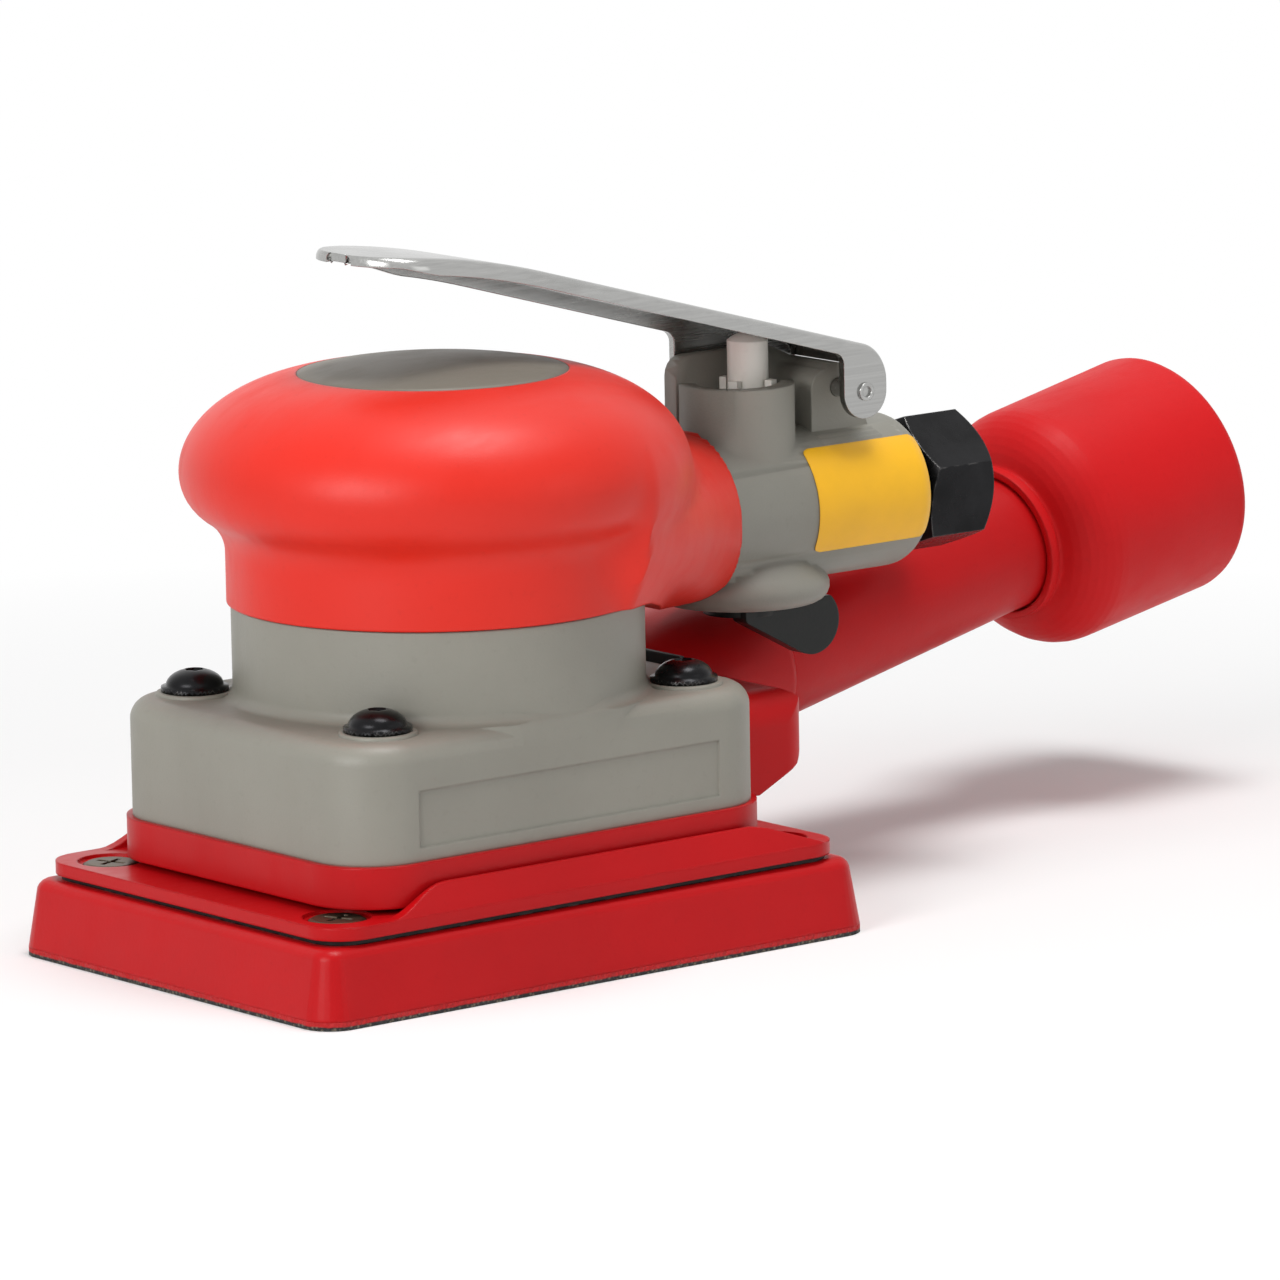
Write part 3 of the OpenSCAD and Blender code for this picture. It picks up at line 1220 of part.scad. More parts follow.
module pad() {
  color([0.76, 0.12, 0.14]) on_crank() difference() {
    soft_block(pad_l, pad_w, pad_corner_r, pad_z0, plate_z0, pad_edge_r, pad_lean);
    dust_holes(0, plate_z0 + cut);
    at_corners(pad_screw_x, pad_screw_y) rod(screw_r + 0.3, plate_z0 - 3.4, plate_z0 + cut);
  }
}
module hook_face() {
  color([0.08, 0.08, 0.08]) on_crank() difference() {
    rounded_plate(pad_l, pad_w, pad_corner_r, 0, hook_t);
    dust_holes(-cut, hook_t + cut);
  }
}
module pad_screws() {
  color([0.33, 0.27, 0.18]) on_crank() at_corners(pad_screw_x, pad_screw_y) difference() {
    translate([0, 0, ledge_z]) rotate_extrude() polygon([[0, -0.2], [screw_head_r - 0.6, -0.2],
      [screw_head_r, -screw_rim_depth], [screw_r, -screw_cone_depth],
      [screw_r, plate_z0 - ledge_z - 2.6], [0, plate_z0 - ledge_z - 2.6]]);
    for (a = [20, 110]) rotate(a) translate([-2.4, -0.4, ledge_z - 1.2]) cube([4.8, 0.8, 2]);
  }
}

motor_housing();
grip();
shroud();
skirt();
lock_ring();
rear_end_plate();
cylinder_liner();
front_end_plate();
cylinder_pin();
upper_bearing_outer();
lower_bearing_outer();
rotor();
rotor_key();
vanes();
shaft_balancer();
upper_bearing_inner();
upper_bearing_balls();
lower_bearing_inner();
lower_bearing_balls();
spindle_bearing_inner();
spindle_bearing_balls();
crank_screw();
valve_guide();
stem_seal();
valve_seat();
tip_valve();
valve_spring();
inlet_bushing();
inlet_seal();
inlet_screen();
valve_stem();
throttle_lever();
lever_pin();
speed_control();
speed_seal();
exhaust_elbow();
elbow_gasket();
exhaust_tube();
hose_cuff();
posts();
post_screws();
lower_post_screws();
carrier();
spindle_bearing_outer();
bearing_circlip();
backing_plate();
pad();
hook_face();
pad_screws();
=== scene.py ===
"""Orbital sander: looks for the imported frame, with a floor, soft studio light and the camera."""
import json
import math
import bpy
import bmesh
import numpy as np
from mathutils import Matrix, Vector

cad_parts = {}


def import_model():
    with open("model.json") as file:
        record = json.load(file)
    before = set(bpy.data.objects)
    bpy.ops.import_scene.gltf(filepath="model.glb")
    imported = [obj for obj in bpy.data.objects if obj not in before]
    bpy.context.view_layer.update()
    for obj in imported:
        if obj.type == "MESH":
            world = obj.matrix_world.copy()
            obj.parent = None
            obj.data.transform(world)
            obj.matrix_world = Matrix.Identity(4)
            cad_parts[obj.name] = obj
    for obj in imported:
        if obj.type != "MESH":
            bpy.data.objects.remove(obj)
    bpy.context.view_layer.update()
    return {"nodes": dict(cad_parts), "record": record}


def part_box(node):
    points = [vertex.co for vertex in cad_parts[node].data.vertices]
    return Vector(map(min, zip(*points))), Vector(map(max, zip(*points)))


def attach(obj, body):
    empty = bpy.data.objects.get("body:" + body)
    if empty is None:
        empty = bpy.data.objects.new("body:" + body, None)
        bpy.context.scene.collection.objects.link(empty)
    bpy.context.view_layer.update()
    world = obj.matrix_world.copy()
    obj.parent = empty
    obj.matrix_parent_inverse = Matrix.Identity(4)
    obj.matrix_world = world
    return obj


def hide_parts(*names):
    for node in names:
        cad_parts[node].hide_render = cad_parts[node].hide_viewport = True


MM = 0.001
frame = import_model()
nodes = frame["nodes"]
scene = bpy.context.scene


# ---------------------------------------------------------------- colours
def srgb(r, g, b):
    """8-bit display colour to the linear values that the shaders take."""
    def lin(c):
        c /= 255.0
        return c / 12.92 if c <= 0.04045 else ((c + 0.055) / 1.055) ** 2.4
    return (lin(r), lin(g), lin(b), 1.0)


def scaled(c, k):
    return (min(1, c[0] * k), min(1, c[1] * k), min(1, c[2] * k), 1.0)


# ---------------------------------------------------------------- materials
class Nodes:
    """A material under construction, with short ways to add and link nodes."""

    def __init__(self, name):
        self.mat = bpy.data.materials.new(name)
        self.mat.use_nodes = True
        self.tree = self.mat.node_tree
        self.tree.nodes.clear()
        self.out = self.add("ShaderNodeOutputMaterial")
        self.bsdf = self.add("ShaderNodeBsdfPrincipled")
        self.link(self.bsdf.outputs["BSDF"], self.out.inputs["Surface"])
        self.coord = self.add("ShaderNodeTexCoord").outputs["Object"]

    def add(self, kind, **values):
        node = self.tree.nodes.new(kind)
        for key, value in values.items():
            setattr(node, key, value)
        return node

    def link(self, a, b):
        self.tree.links.new(a, b)

    def feed(self, socket, value):
        if isinstance(value, (int, float, tuple)):
            socket.default_value = value
        else:
            self.link(value, socket)

    def stretch(self, scale, turn=(0, 0, 0)):
        node = self.add("ShaderNodeMapping")
        node.inputs["Scale"].default_value = scale
        node.inputs["Rotation"].default_value = turn
        self.link(self.coord, node.inputs["Vector"])
        return node.outputs["Vector"]

    def noise(self, scale, detail=3.0, rough=0.5, vector=None):
        node = self.add("ShaderNodeTexNoise")
        node.inputs["Scale"].default_value = scale
        node.inputs["Detail"].default_value = detail
        node.inputs["Roughness"].default_value = rough
        self.link(vector or self.coord, node.inputs["Vector"])
        return node.outputs["Fac"]

    def cells(self, scale):
        node = self.add("ShaderNodeTexVoronoi")
        node.inputs["Scale"].default_value = scale
        self.link(self.coord, node.inputs["Vector"])
        return node.outputs["Distance"]

    def height(self):
        node = self.add("ShaderNodeSeparateXYZ")
        self.link(self.coord, node.inputs[0])
        return node.outputs["Z"]

    def spread(self, value, a0, a1, b0, b1):
        """Maps a0..a1 to b0..b1, clamped."""
        node = self.add("ShaderNodeMapRange", clamp=True)
        self.feed(node.inputs["Value"], value)
        for key, v in zip(("From Min", "From Max", "To Min", "To Max"), (a0, a1, b0, b1)):
            node.inputs[key].default_value = v
        return node.outputs["Result"]

    def math(self, kind, a, b=0.0):
        node = self.add("ShaderNodeMath", operation=kind)
        self.feed(node.inputs[0], a)
        self.feed(node.inputs[1], b)
        return node.outputs[0]

    def mix(self, fac, a, b):
        node = self.add("ShaderNodeMix", data_type="RGBA")
        self.feed(node.inputs[0], fac)
        self.feed(node.inputs[6], a)
        self.feed(node.inputs[7], b)
        return node.outputs[2]

    def round_edges(self, radius):
        node = self.add("ShaderNodeBevel", samples=6)
        node.inputs["Radius"].default_value = radius
        return node.outputs["Normal"]

    def edges(self, radius, lo=0.02, hi=0.3):
        """0 on the flats, 1 on edges, from the turn of the rounded normal."""
        geo = self.add("ShaderNodeNewGeometry")
        dot = self.add("ShaderNodeVectorMath", operation="DOT_PRODUCT")
        self.link(self.round_edges(radius), dot.inputs[0])
        self.link(geo.outputs["Normal"], dot.inputs[1])
        turn = self.math("SUBTRACT", 1.0, dot.outputs["Value"])
        return self.spread(turn, lo, hi, 0.0, 1.0)

    def bump(self, height, depth, normal, strength):
        node = self.add("ShaderNodeBump")
        node.inputs["Strength"].default_value = strength
        node.inputs["Distance"].default_value = depth
        self.link(height, node.inputs["Height"])
        if normal is not None:
            self.link(normal, node.inputs["Normal"])
        return node.outputs["Normal"]

    def set(self, **values):
        for key, value in values.items():
            self.feed(self.bsdf.inputs[key.replace("_", " ")], value)


def moulded(name, rgb, rough, grain, depth, edge, worn, mottle=0.06, gloss=0.5, top=None):
    """Moulded plastic or rubber: fine spark-eroded grain, faint mottling, rubbed edges and scuffs.

    worn is how many times lighter the edges are rubbed, and top = (height, colour) gives what lies
    above that height a colour of its own.
    """
    n = Nodes(name)
    broad = n.noise(38.0, 4.0, 0.6)
    fine = n.noise(900.0, 2.0, 0.5)
    tone = n.mix(n.spread(broad, 0.3, 0.7, 0.0, 1.0), scaled(rgb, 1 - mottle), scaled(rgb, 1 + mottle))
    tone = n.mix(n.spread(fine, 0.62, 0.8, 0.0, 0.25), tone, scaled(rgb, 0.78))
    rub = n.math("MULTIPLY", n.edges(edge * 1.6), n.spread(n.noise(260.0, 3.0), 0.42, 0.6, 0.0, 0.55))
    tone = n.mix(rub, tone, scaled(rgb, worn))
    if top:
        above, top_rgb = top
        tone = n.mix(n.spread(n.height(), above, above + 0.0002, 0.0, 1.0), tone, top_rgb)
    n.set(Base_Color=tone)
    skewed = n.stretch((1, 2.2, 0.7), (0.4, 0.2, 0.9))
    scuff = n.spread(n.noise(70.0, 5.0, 0.65, skewed), 0.45, 0.7, 0.0, 1.0)
    matt = n.spread(scuff, 0, 1, rough - 0.04, rough + 0.07)
    n.set(Roughness=n.math("ADD", matt, n.math("MULTIPLY", rub, -0.1)))
    waves = n.bump(broad, 0.00012, n.round_edges(edge), 0.4)
    n.set(Normal=n.bump(n.noise(grain, 3.0, 0.55), depth, waves, 0.55))
    n.bsdf.inputs["Specular IOR Level"].default_value = gloss
    return n.mat


def metal(name, rgb, rough, lay, depth=0.00001, edge=0.0003, dirt=0.25):
    """Bare metal with smudges and the lines of its finish: lay is how fine they are along X, Y and Z."""
    n = Nodes(name)
    lines = n.noise(1.0, 3.0, 0.6, n.stretch(lay))
    smudge = n.noise(60.0, 4.0, 0.6)
    tone = n.mix(n.spread(lines, 0.3, 0.7, 0.0, 1.0), scaled(rgb, 0.9), scaled(rgb, 1.06))
    tone = n.mix(n.spread(smudge, 0.55, 0.75, 0.0, dirt), tone, scaled(rgb, 0.6))
    n.set(Base_Color=tone, Metallic=1.0)
    n.set(Roughness=n.math("ADD", n.spread(lines, 0.3, 0.7, rough - 0.05, rough + 0.06),
                           n.spread(smudge, 0.45, 0.75, 0.0, 0.1)))
    n.set(Normal=n.bump(lines, depth, n.round_edges(edge), 0.5))
    return n.mat


def blackened(name, rgb, rough, edge=0.0003, grain=1500.0):
    """Black oxide steel: dark, slightly uneven, with bright worn edges."""
    n = Nodes(name)
    patch = n.noise(120.0, 4.0, 0.6)
    rub = n.math("MULTIPLY", n.edges(edge * 1.5), n.spread(n.noise(500.0, 3.0), 0.45, 0.62, 0.0, 0.6))
    tone = n.mix(n.spread(patch, 0.35, 0.7, 0.0, 1.0), scaled(rgb, 0.7), scaled(rgb, 1.4))
    n.set(Base_Color=n.mix(rub, tone, (0.3, 0.29, 0.28, 1.0)), Metallic=0.85)
    n.set(Roughness=n.spread(patch, 0.3, 0.7, rough - 0.06, rough + 0.1))
    n.set(Normal=n.bump(n.noise(grain, 3.0), 0.00002, n.round_edges(edge), 0.4))
    n.bsdf.inputs["Specular IOR Level"].default_value = 0.5
    return n.mat


def vinyl(name, rgb):
    """Film of a label, rubbed darker on its edges."""
    n = Nodes(name)
    soft = n.noise(90.0, 4.0, 0.6)
    tone = n.mix(n.spread(soft, 0.3, 0.7, 0.0, 1.0), scaled(rgb, 0.93), scaled(rgb, 1.03))
    rub = n.math("MULTIPLY", n.edges(0.0004, 0.01, 0.2), n.spread(n.noise(700.0), 0.4, 0.6, 0.2, 0.8))
    n.set(Base_Color=n.mix(rub, tone, scaled(rgb, 0.7)))
    n.set(Roughness=n.spread(n.noise(200.0, 4.0), 0.3, 0.7, 0.3, 0.42))
    n.set(Normal=n.bump(n.noise(420.0, 3.0), 0.00004, None, 0.35))
    return n.mat


def hook_pile(name):
    """Hook sheet: tiny dark hooks with pale ends, below the ragged edge of the red foam."""
    n = Nodes(name)
    dots = n.cells(1500.0)
    tone = n.mix(n.spread(dots, 0.1, 0.5, 0.0, 1.0), (0.16, 0.13, 0.09, 1.0), (0.008, 0.008, 0.008, 1.0))
    ragged = n.math("ADD", n.height(), n.math("MULTIPLY", n.noise(500.0), 0.0003))
    n.set(Base_Color=n.mix(n.spread(ragged, 0.0006, 0.0008, 0.0, 1.0), tone, RED_PAD))
    n.set(Roughness=n.spread(n.noise(400.0), 0.3, 0.7, 0.55, 0.85))
    n.set(Normal=n.bump(dots, 0.0004, None, 0.9))
    return n.mat


RED_GRIP = srgb(218, 42, 28)
RED_CUFF = srgb(206, 20, 24)
RED_TUBE = srgb(192, 16, 20)
RED_PAD = srgb(182, 12, 18)
GREY = srgb(138, 136, 127)
GREY_BODY = srgb(138, 136, 126)
CAP_TONE = srgb(116, 110, 100)
WHITE = srgb(228, 226, 218)
BLACK_PLASTIC = srgb(30, 32, 31)
BLACK_RUBBER = srgb(28, 28, 28)
BROWN = srgb(112, 78, 50)
LABEL_YELLOW = srgb(248, 186, 14)
# the housing's flat cap, above this height, is of a darker plastic
CAP_Z = 0.0834

MATERIALS = {name: make(name, *values) for name, make, *values in (
    # colour, roughness, scale and depth of the grain, edge radius, worn edges, mottling, gloss, top
    ("grip_rubber", moulded, RED_GRIP, 0.42, 3200.0, 0.00003, 0.0006, 1.1, 0.03, 0.3),
    ("grey_housing", moulded, GREY, 0.5, 2400.0, 0.00005, 0.0004, 1.2, 0.05, 0.4, (CAP_Z, CAP_TONE)),
    ("grey_plastic", moulded, GREY_BODY, 0.48, 2400.0, 0.00005, 0.0005, 1.2, 0.05),
    ("red_plastic", moulded, RED_PAD, 0.34, 2000.0, 0.00003, 0.0005, 1.3, 0.05, 0.18),
    ("red_tube", moulded, RED_TUBE, 0.4, 1800.0, 0.00004, 0.0005, 1.2, 0.05, 0.18),
    ("red_cuff", moulded, RED_CUFF, 0.5, 2400.0, 0.00006, 0.0006, 1.15, 0.04, 0.18),
    ("red_pad", moulded, RED_PAD, 0.36, 1500.0, 0.00004, 0.0006, 1.2, 0.06, 0.18),
    ("white_acetal", moulded, WHITE, 0.35, 1500.0, 0.00002, 0.0003, 1.05, 0.03),
    ("black_plastic", moulded, BLACK_PLASTIC, 0.38, 2200.0, 0.00005, 0.0004, 2.0, 0.15, 0.25),
    ("black_rubber", moulded, BLACK_RUBBER, 0.6, 2200.0, 0.00005, 0.0003, 1.6, 0.1),
    ("phenolic", moulded, BROWN, 0.5, 900.0, 0.00005, 0.0002, 1.2, 0.2),
    # colour, roughness, lay of the finish
    ("stainless", metal, (0.41, 0.41, 0.4, 1), 0.2, (25, 1800, 1800)),
    ("steel", metal, (0.5, 0.5, 0.51, 1), 0.3, (400, 400, 3000)),
    ("bearing_steel", metal, (0.62, 0.62, 0.63, 1), 0.12, (600, 600, 4000)),
    ("alloy", metal, (0.6, 0.61, 0.62, 1), 0.34, (500, 500, 2500)),
    ("brass", metal, (0.72, 0.5, 0.2, 1), 0.25, (2500, 300, 300)),
    # colour, roughness
    ("black_steel", blackened, (0.012, 0.012, 0.013, 1), 0.26),
    ("bronzed_steel", blackened, (0.10, 0.075, 0.05, 1), 0.36),
    # the backing plate is near black so that its thin edge gives the dark line between the collar and the
    # pad's top: partly the plate's own colour, partly painted shade of the gap there
    ("dark_plate", blackened, (0.02, 0.018, 0.018, 1), 0.5),
    ("hook_fabric", hook_pile),
)}

SLOT_OF = {s["node"]: s["material_slot"] for s in frame["record"]["subparts"]}


def dress(obj, slot):
    obj.data.materials.clear()
    obj.data.materials.append(MATERIALS[slot])


for name, obj in nodes.items():
    dress(obj, SLOT_OF[name])


# ---------------------------------------------------------------- mesh helpers
def new_object(name, verts, faces, slot=None):
    mesh = bpy.data.meshes.new(name)
    mesh.from_pydata([tuple(v) for v in verts], [], faces)
    mesh.update()
    obj = bpy.data.objects.new(name, mesh)
    scene.collection.objects.link(obj)
    if slot:
        dress(obj, slot)
    return obj


def finish_mesh(obj, smooth):
    """Joins doubled points, turns the faces outwards and shades smooth up to the angle smooth."""
    bm = bmesh.new()
    bm.from_mesh(obj.data)
    bmesh.ops.remove_doubles(bm, verts=bm.verts, dist=1e-6)
    bmesh.ops.recalc_face_normals(bm, faces=bm.faces)
    bm.to_mesh(obj.data)
    bm.free()
    obj.data.polygons.foreach_set("use_smooth", [True] * len(obj.data.polygons))
    obj.data.set_sharp_from_angle(angle=math.radians(smooth))


def turned(profile, steps=96, place=Matrix.Identity(4)):
    """Closed mesh of a profile [(r, z)] in millimetres turned about Z, as (verts, faces)."""
    verts, rows = [], []
    for r, z in profile:
        if r < 1e-6:
            rows.append([len(verts)])
            verts.append(place @ Vector((0, 0, z * MM)))
        else:
            rows.append(list(range(len(verts), len(verts) + steps)))
            for i in range(steps):
                a = 2 * math.pi * i / steps
                verts.append(place @ Vector((r * MM * math.cos(a), r * MM * math.sin(a), z * MM)))
    faces = []
    for a, b in zip(rows, rows[1:]):
        for i in range(steps):
            j = (i + 1) % steps
            if len(a) == 1 and len(b) == 1:
                continue
            if len(a) == 1:
                faces.append((a[0], b[j], b[i]))
            elif len(b) == 1:
                faces.append((a[i], a[j], b[0]))
            else:
                faces.append((a[i], a[j], b[j], b[i]))
    return verts, faces


def rod(r, z0, z1, steps=96, place=Matrix.Identity(4)):
    return turned([(0, z0), (r, z0), (r, z1), (0, z1)], steps, place)


def stacked(rings):
    """Closed mesh through rings of equal length, in their order."""
    n = len(rings[0])
    verts = [v for ring in rings for v in ring]
    faces = [tuple(range(n - 1, -1, -1)), tuple(range(len(verts) - n, len(verts)))]
    for i in range(len(rings) - 1):
        here, there = i * n, (i + 1) * n
        faces += [(here + j, here + (j + 1) % n, there + (j + 1) % n, there + j) for j in range(n)]
    return verts, faces


def box_mesh(x0, x1, y0, y1, z0, z1):
    verts = [Vector((x, y, z)) * MM for x in (x0, x1) for y in (y0, y1) for z in (z0, z1)]
    return verts, [(0, 1, 3, 2), (4, 6, 7, 5), (0, 4, 5, 1), (2, 3, 7, 6), (0, 2, 6, 4), (1, 5, 7, 3)]


def remove(obj):
    mesh = obj.data
    bpy.data.objects.remove(obj)
    bpy.data.meshes.remove(mesh)


def bake(obj):
    """Applies the object's modifiers to its mesh."""
    graph = bpy.context.evaluated_depsgraph_get()
    mesh = bpy.data.meshes.new_from_object(obj.evaluated_get(graph))
    old = obj.data
    obj.modifiers.clear()
    obj.data = mesh
    bpy.data.meshes.remove(old)


def cut(obj, cutters, how="DIFFERENCE"):
    """Takes closed meshes (verts, faces) out of obj, or joins or intersects them with it."""
    made = []
    for k, (verts, faces) in enumerate(cutters):
        c = new_object("cutter_%d" % k, verts, faces)
        finish_mesh(c, 180.0)
        mod = obj.modifiers.new("cut", "BOOLEAN")
        mod.operation = how
        mod.solver = "EXACT"
        mod.object = c
        made.append(c)
    bake(obj)
    for c in made:
        remove(c)


# ---------------------------------------------------------------- grip
# sizes of the turned form, in millimetres: its widest ring, waist, crown and the flat on top
GRIP_R, MID_Z, WAIST_R, BULGE_R, HOLLOW_R, CROWN_H, FLAT_R = 37.5, 71.6, 31.0, 8.0, 6.0, 14.6, 14.2
SEAM_Z = MID_Z + CROWN_H
# the neck flares from its end at NECK_X towards the turned form
NECK_R, NECK_X, NECK_FLARE, NECK_RISE, NECK_BLEND = 12.8, 47.5, 0.62, 0.3, 5.0
# what the grip makes room for: barrel, boss of the speed control, core of the housing and its cap
BARREL_Z, BARREL_R, BARREL_X, BARREL_ROUND = 58.4, 11.8, 87.0, 3.0
BOSS_X, BOSS_R, BOSS_TOP = 57.6, 13.5, 51.5
CORE_R, CORE_TOP, CAP_R, CAP_LOW = 28.3, SEAM_Z - 10, 20.0, SEAM_Z - 2.9
ALONG_X = Matrix(((0, 0, 1, 0), (0, 1, 0, 0), (-1, 0, 0, 0), (0, 0, 0, 1)))
SLEEVE_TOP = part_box("shroud")[1].z / MM
GRIP_LOW = SLEEVE_TOP + 0.2
# under the neck the lower edge runs down from the rim to the barrel's underside, as (x, z)
UNDER_EDGE = [(16, GRIP_LOW), (19, 52.1), (25, 50.3), (31, 48), (38, 46), (50, 44.6)]


def grip_radius(z):
    hollow_c, bulge_c = WAIST_R + HOLLOW_R, GRIP_R - BULGE_R
    hollow_z = MID_Z - math.sqrt((BULGE_R + HOLLOW_R) ** 2 - (hollow_c - bulge_c) ** 2)
    meet_z = MID_Z - BULGE_R * (MID_Z - hollow_z) / (BULGE_R + HOLLOW_R)
    crown = FLAT_R + (GRIP_R - FLAT_R) * np.sqrt(np.clip(1 - ((z - MID_Z) / CROWN_H) ** 2, 0, 1))
    bulge = bulge_c + np.sqrt(np.clip(BULGE_R ** 2 - (MID_Z - z) ** 2, 0, None))
    hollow = hollow_c - np.sqrt(np.clip(HOLLOW_R ** 2 - (z - hollow_z) ** 2, 0, None))
    stretches = [z >= SEAM_Z, z > MID_Z, z > meet_z, z > hollow_z]
    return np.select(stretches, [FLAT_R, crown, bulge, hollow], WAIST_R)


def neck_mid(x):
    return BARREL_Z + np.maximum(0, NECK_X - x) * NECK_RISE / 2


def grip_field(x, y, z):
    """Below zero inside the turned form or the neck, with a blend between them."""
    body = np.maximum(np.hypot(x, y) - grip_radius(z), z - SEAM_Z - 1)
    w = NECK_R + np.maximum(0, NECK_X - x) * NECK_FLARE
    h = NECK_R + neck_mid(x) - BARREL_Z
    neck = (np.hypot(y / w, (z - neck_mid(x)) / h) - 1) * np.minimum(w, h)
    # the neck fades out towards the Z axis and runs on past its end, where it is cut off square
    neck = np.maximum(neck + np.maximum(0, NECK_R - x), x - NECK_X - 4)
    near = np.maximum(0, 1 - np.abs(body - neck) / NECK_BLEND)
    return np.minimum(body, neck) - near * near * NECK_BLEND / 4


def grip_rings(steps=60):
    """Heights of the grip's rings: close together where its surface lies flat."""
    low, high = BARREL_Z - NECK_R, MID_Z
    turn = np.pi / 2 * np.arange(1, steps + 1) / steps
    under = low + (high - low) * (1 - np.cos(turn)) ** 1.2
    crown = MID_Z + CROWN_H * np.sin(turn)
    return np.concatenate([[low - 0.5, low - 0.02], under, crown[:-1], [SEAM_Z]])


def make_grip():
    """The grip's outside, found from its field by rays from the Z axis, less what it fits over."""
    around, halvings, reach = 300, 26, 60.0
    zs = grip_rings()
    t = 2 * np.arange(around) / around - 1
    # directions, closer together towards the neck
    a = np.pi * t * (0.35 + 0.65 * t * t)
    x, y, z = np.cos(a)[None], np.sin(a)[None], zs[:, None]
    lo, hi = np.zeros((len(zs), around)), np.full((len(zs), around), reach)
    for _ in range(halvings):
        mid = (lo + hi) / 2
        inside = grip_field(mid * x, mid * y, z + 0 * mid) < 0
        lo, hi = np.where(inside, mid, lo), np.where(inside, hi, mid)
    r = (lo + hi) / 2
    rings = np.stack([r * x, r * y, z + 0 * r], -1)
    obj = new_object("grip_skin", *stacked([[Vector(v) * MM for v in ring] for ring in rings]), "grip_rubber")
    finish_mesh(obj, 180.0)
    boss_line = Matrix.Translation((BOSS_X * MM, 0, 0))
    barrel_line = Matrix.Translation((0, 0, BARREL_Z * MM)) @ ALONG_X
    room = turned([(0, 30), (CORE_R, 30), (CORE_R, CORE_TOP), (CAP_R, CAP_LOW), (CAP_R, SEAM_Z + 2),
                   (0, SEAM_Z + 2)], 160)
    low, wide = 20, 50
    below = [(-wide, low), (wide, low)] + UNDER_EDGE[::-1] + [(-wide, GRIP_LOW)]
    cut(obj, [
        rod(WAIST_R + 0.1, low, GRIP_LOW, 160),
        room,
        rod(BARREL_R + 0.1, -5, 70, 96, barrel_line),
        rod(BOSS_R, 30, BOSS_TOP, 96, boss_line),
        stacked([[Vector((x, y, z)) * MM for x, z in below] for y in (-wide, wide)]),
        box_mesh(NECK_X, 70, -wide, wide, low, 90)])
    finish_mesh(obj, 40.0)
    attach(obj, "housing")
    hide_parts("grip")


make_grip()


# ---------------------------------------------------------------- lug under the lever's hinge
# what is taken off the near side of the lug, down to the round of the barrel
LUG_NEAR_Y, LUG_FAR_Y, LUG_X0, LUG_X1, LUG_TOP = -10.5, -4.4, 66.6, 83.0, 82.0


def make_housing():
    """The housing with the near side of its hinge lug narrowed down to the barrel."""
    a0, a1 = math.acos(-LUG_NEAR_Y / BARREL_R), math.acos(-LUG_FAR_Y / BARREL_R)
    angles = [a0 + (a1 - a0) * i / 24 for i in range(25)]
    outline = [(-BARREL_R * math.cos(a), BARREL_Z + BARREL_R * math.sin(a)) for a in angles]
    outline += [(LUG_FAR_Y, LUG_TOP), (LUG_NEAR_Y, LUG_TOP)]
    obj = bpy.data.objects.new("housing_shell", nodes["motor_housing"].data.copy())
    scene.collection.objects.link(obj)
    cut(obj, [stacked([[Vector((x, y, z)) * MM for y, z in outline] for x in (LUG_X0, LUG_X1)])])
    dress(obj, "grey_housing")
    finish_mesh(obj, 32.0)
    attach(obj, "housing")
    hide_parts("motor_housing")


make_housing()


# ---------------------------------------------------------------- shroud, its screws and its posts
# the photograph shows the box lower than the solids have it, and its screws a little elsewhere
BOX_L, BOX_W, BOX_R, BOX_EDGE, BOX_TOP = 77.4, 62.0, 10.0, 3.2, 38.4
BOX_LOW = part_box("shroud")[0].z / MM
# walls and top of the box, its sleeve and bore, and the cove round the sleeve's foot
WALL, TOP_T, SLEEVE_R, BORE_R, COVE_R = 2.6, 3.0, 30.4, 27.5, 1.8
# seats of the screws, with their rounded rim, room for the heads and holes for the shanks
SEAT_X, SEAT_Y, SEAT_R, SEAT_RISE = 28.3, 22.2, 5.7, 0.5
SEAT_RIM, SEAT_RIM_MID, HEAD_ROOM_R, SHANK_ROOM_R = 0.25, 0.07, 5.15, 2.4
# plain sunken panel on the near side
PANEL_X0, PANEL_X1, PANEL_Z0, PANEL_Z1, PANEL_DEPTH = -27.8, 27.6, 23.0, 31.2, 0.3
# how far the screws move away from the middle along X and Y, and up; the posts follow them, not at
# all at POST_LOW and wholly at the top
SCREW_SHIFT, POST_LOW = (-1.7, 1.15, -3.5), 18.0
ARC = [math.pi / 2 * i / 10 for i in range(11)]


def rounded_ring(length, width, r, z, steps=14):
    ring = []
    for cx, cy, a0 in ((1, 1, 0), (-1, 1, 90), (-1, -1, 180), (1, -1, 270)):
        for i in range(steps + 1):
            a = math.radians(a0 + 90 * i / steps)
            x = cx * (length / 2 - r) + r * math.cos(a)
            y = cy * (width / 2 - r) + r * math.sin(a)
            ring.append(Vector((x, y, z)) * MM)
    return ring


def soft_box(low, top):
    rings = [rounded_ring(BOX_L, BOX_W, BOX_R, low)]
    for a in ARC:
        inset = BOX_EDGE * (1 - math.cos(a))
        rings.append(rounded_ring(BOX_L - 2 * inset, BOX_W - 2 * inset, BOX_R - inset,
                                  top - BOX_EDGE * (1 - math.sin(a))))
    return stacked(rings)


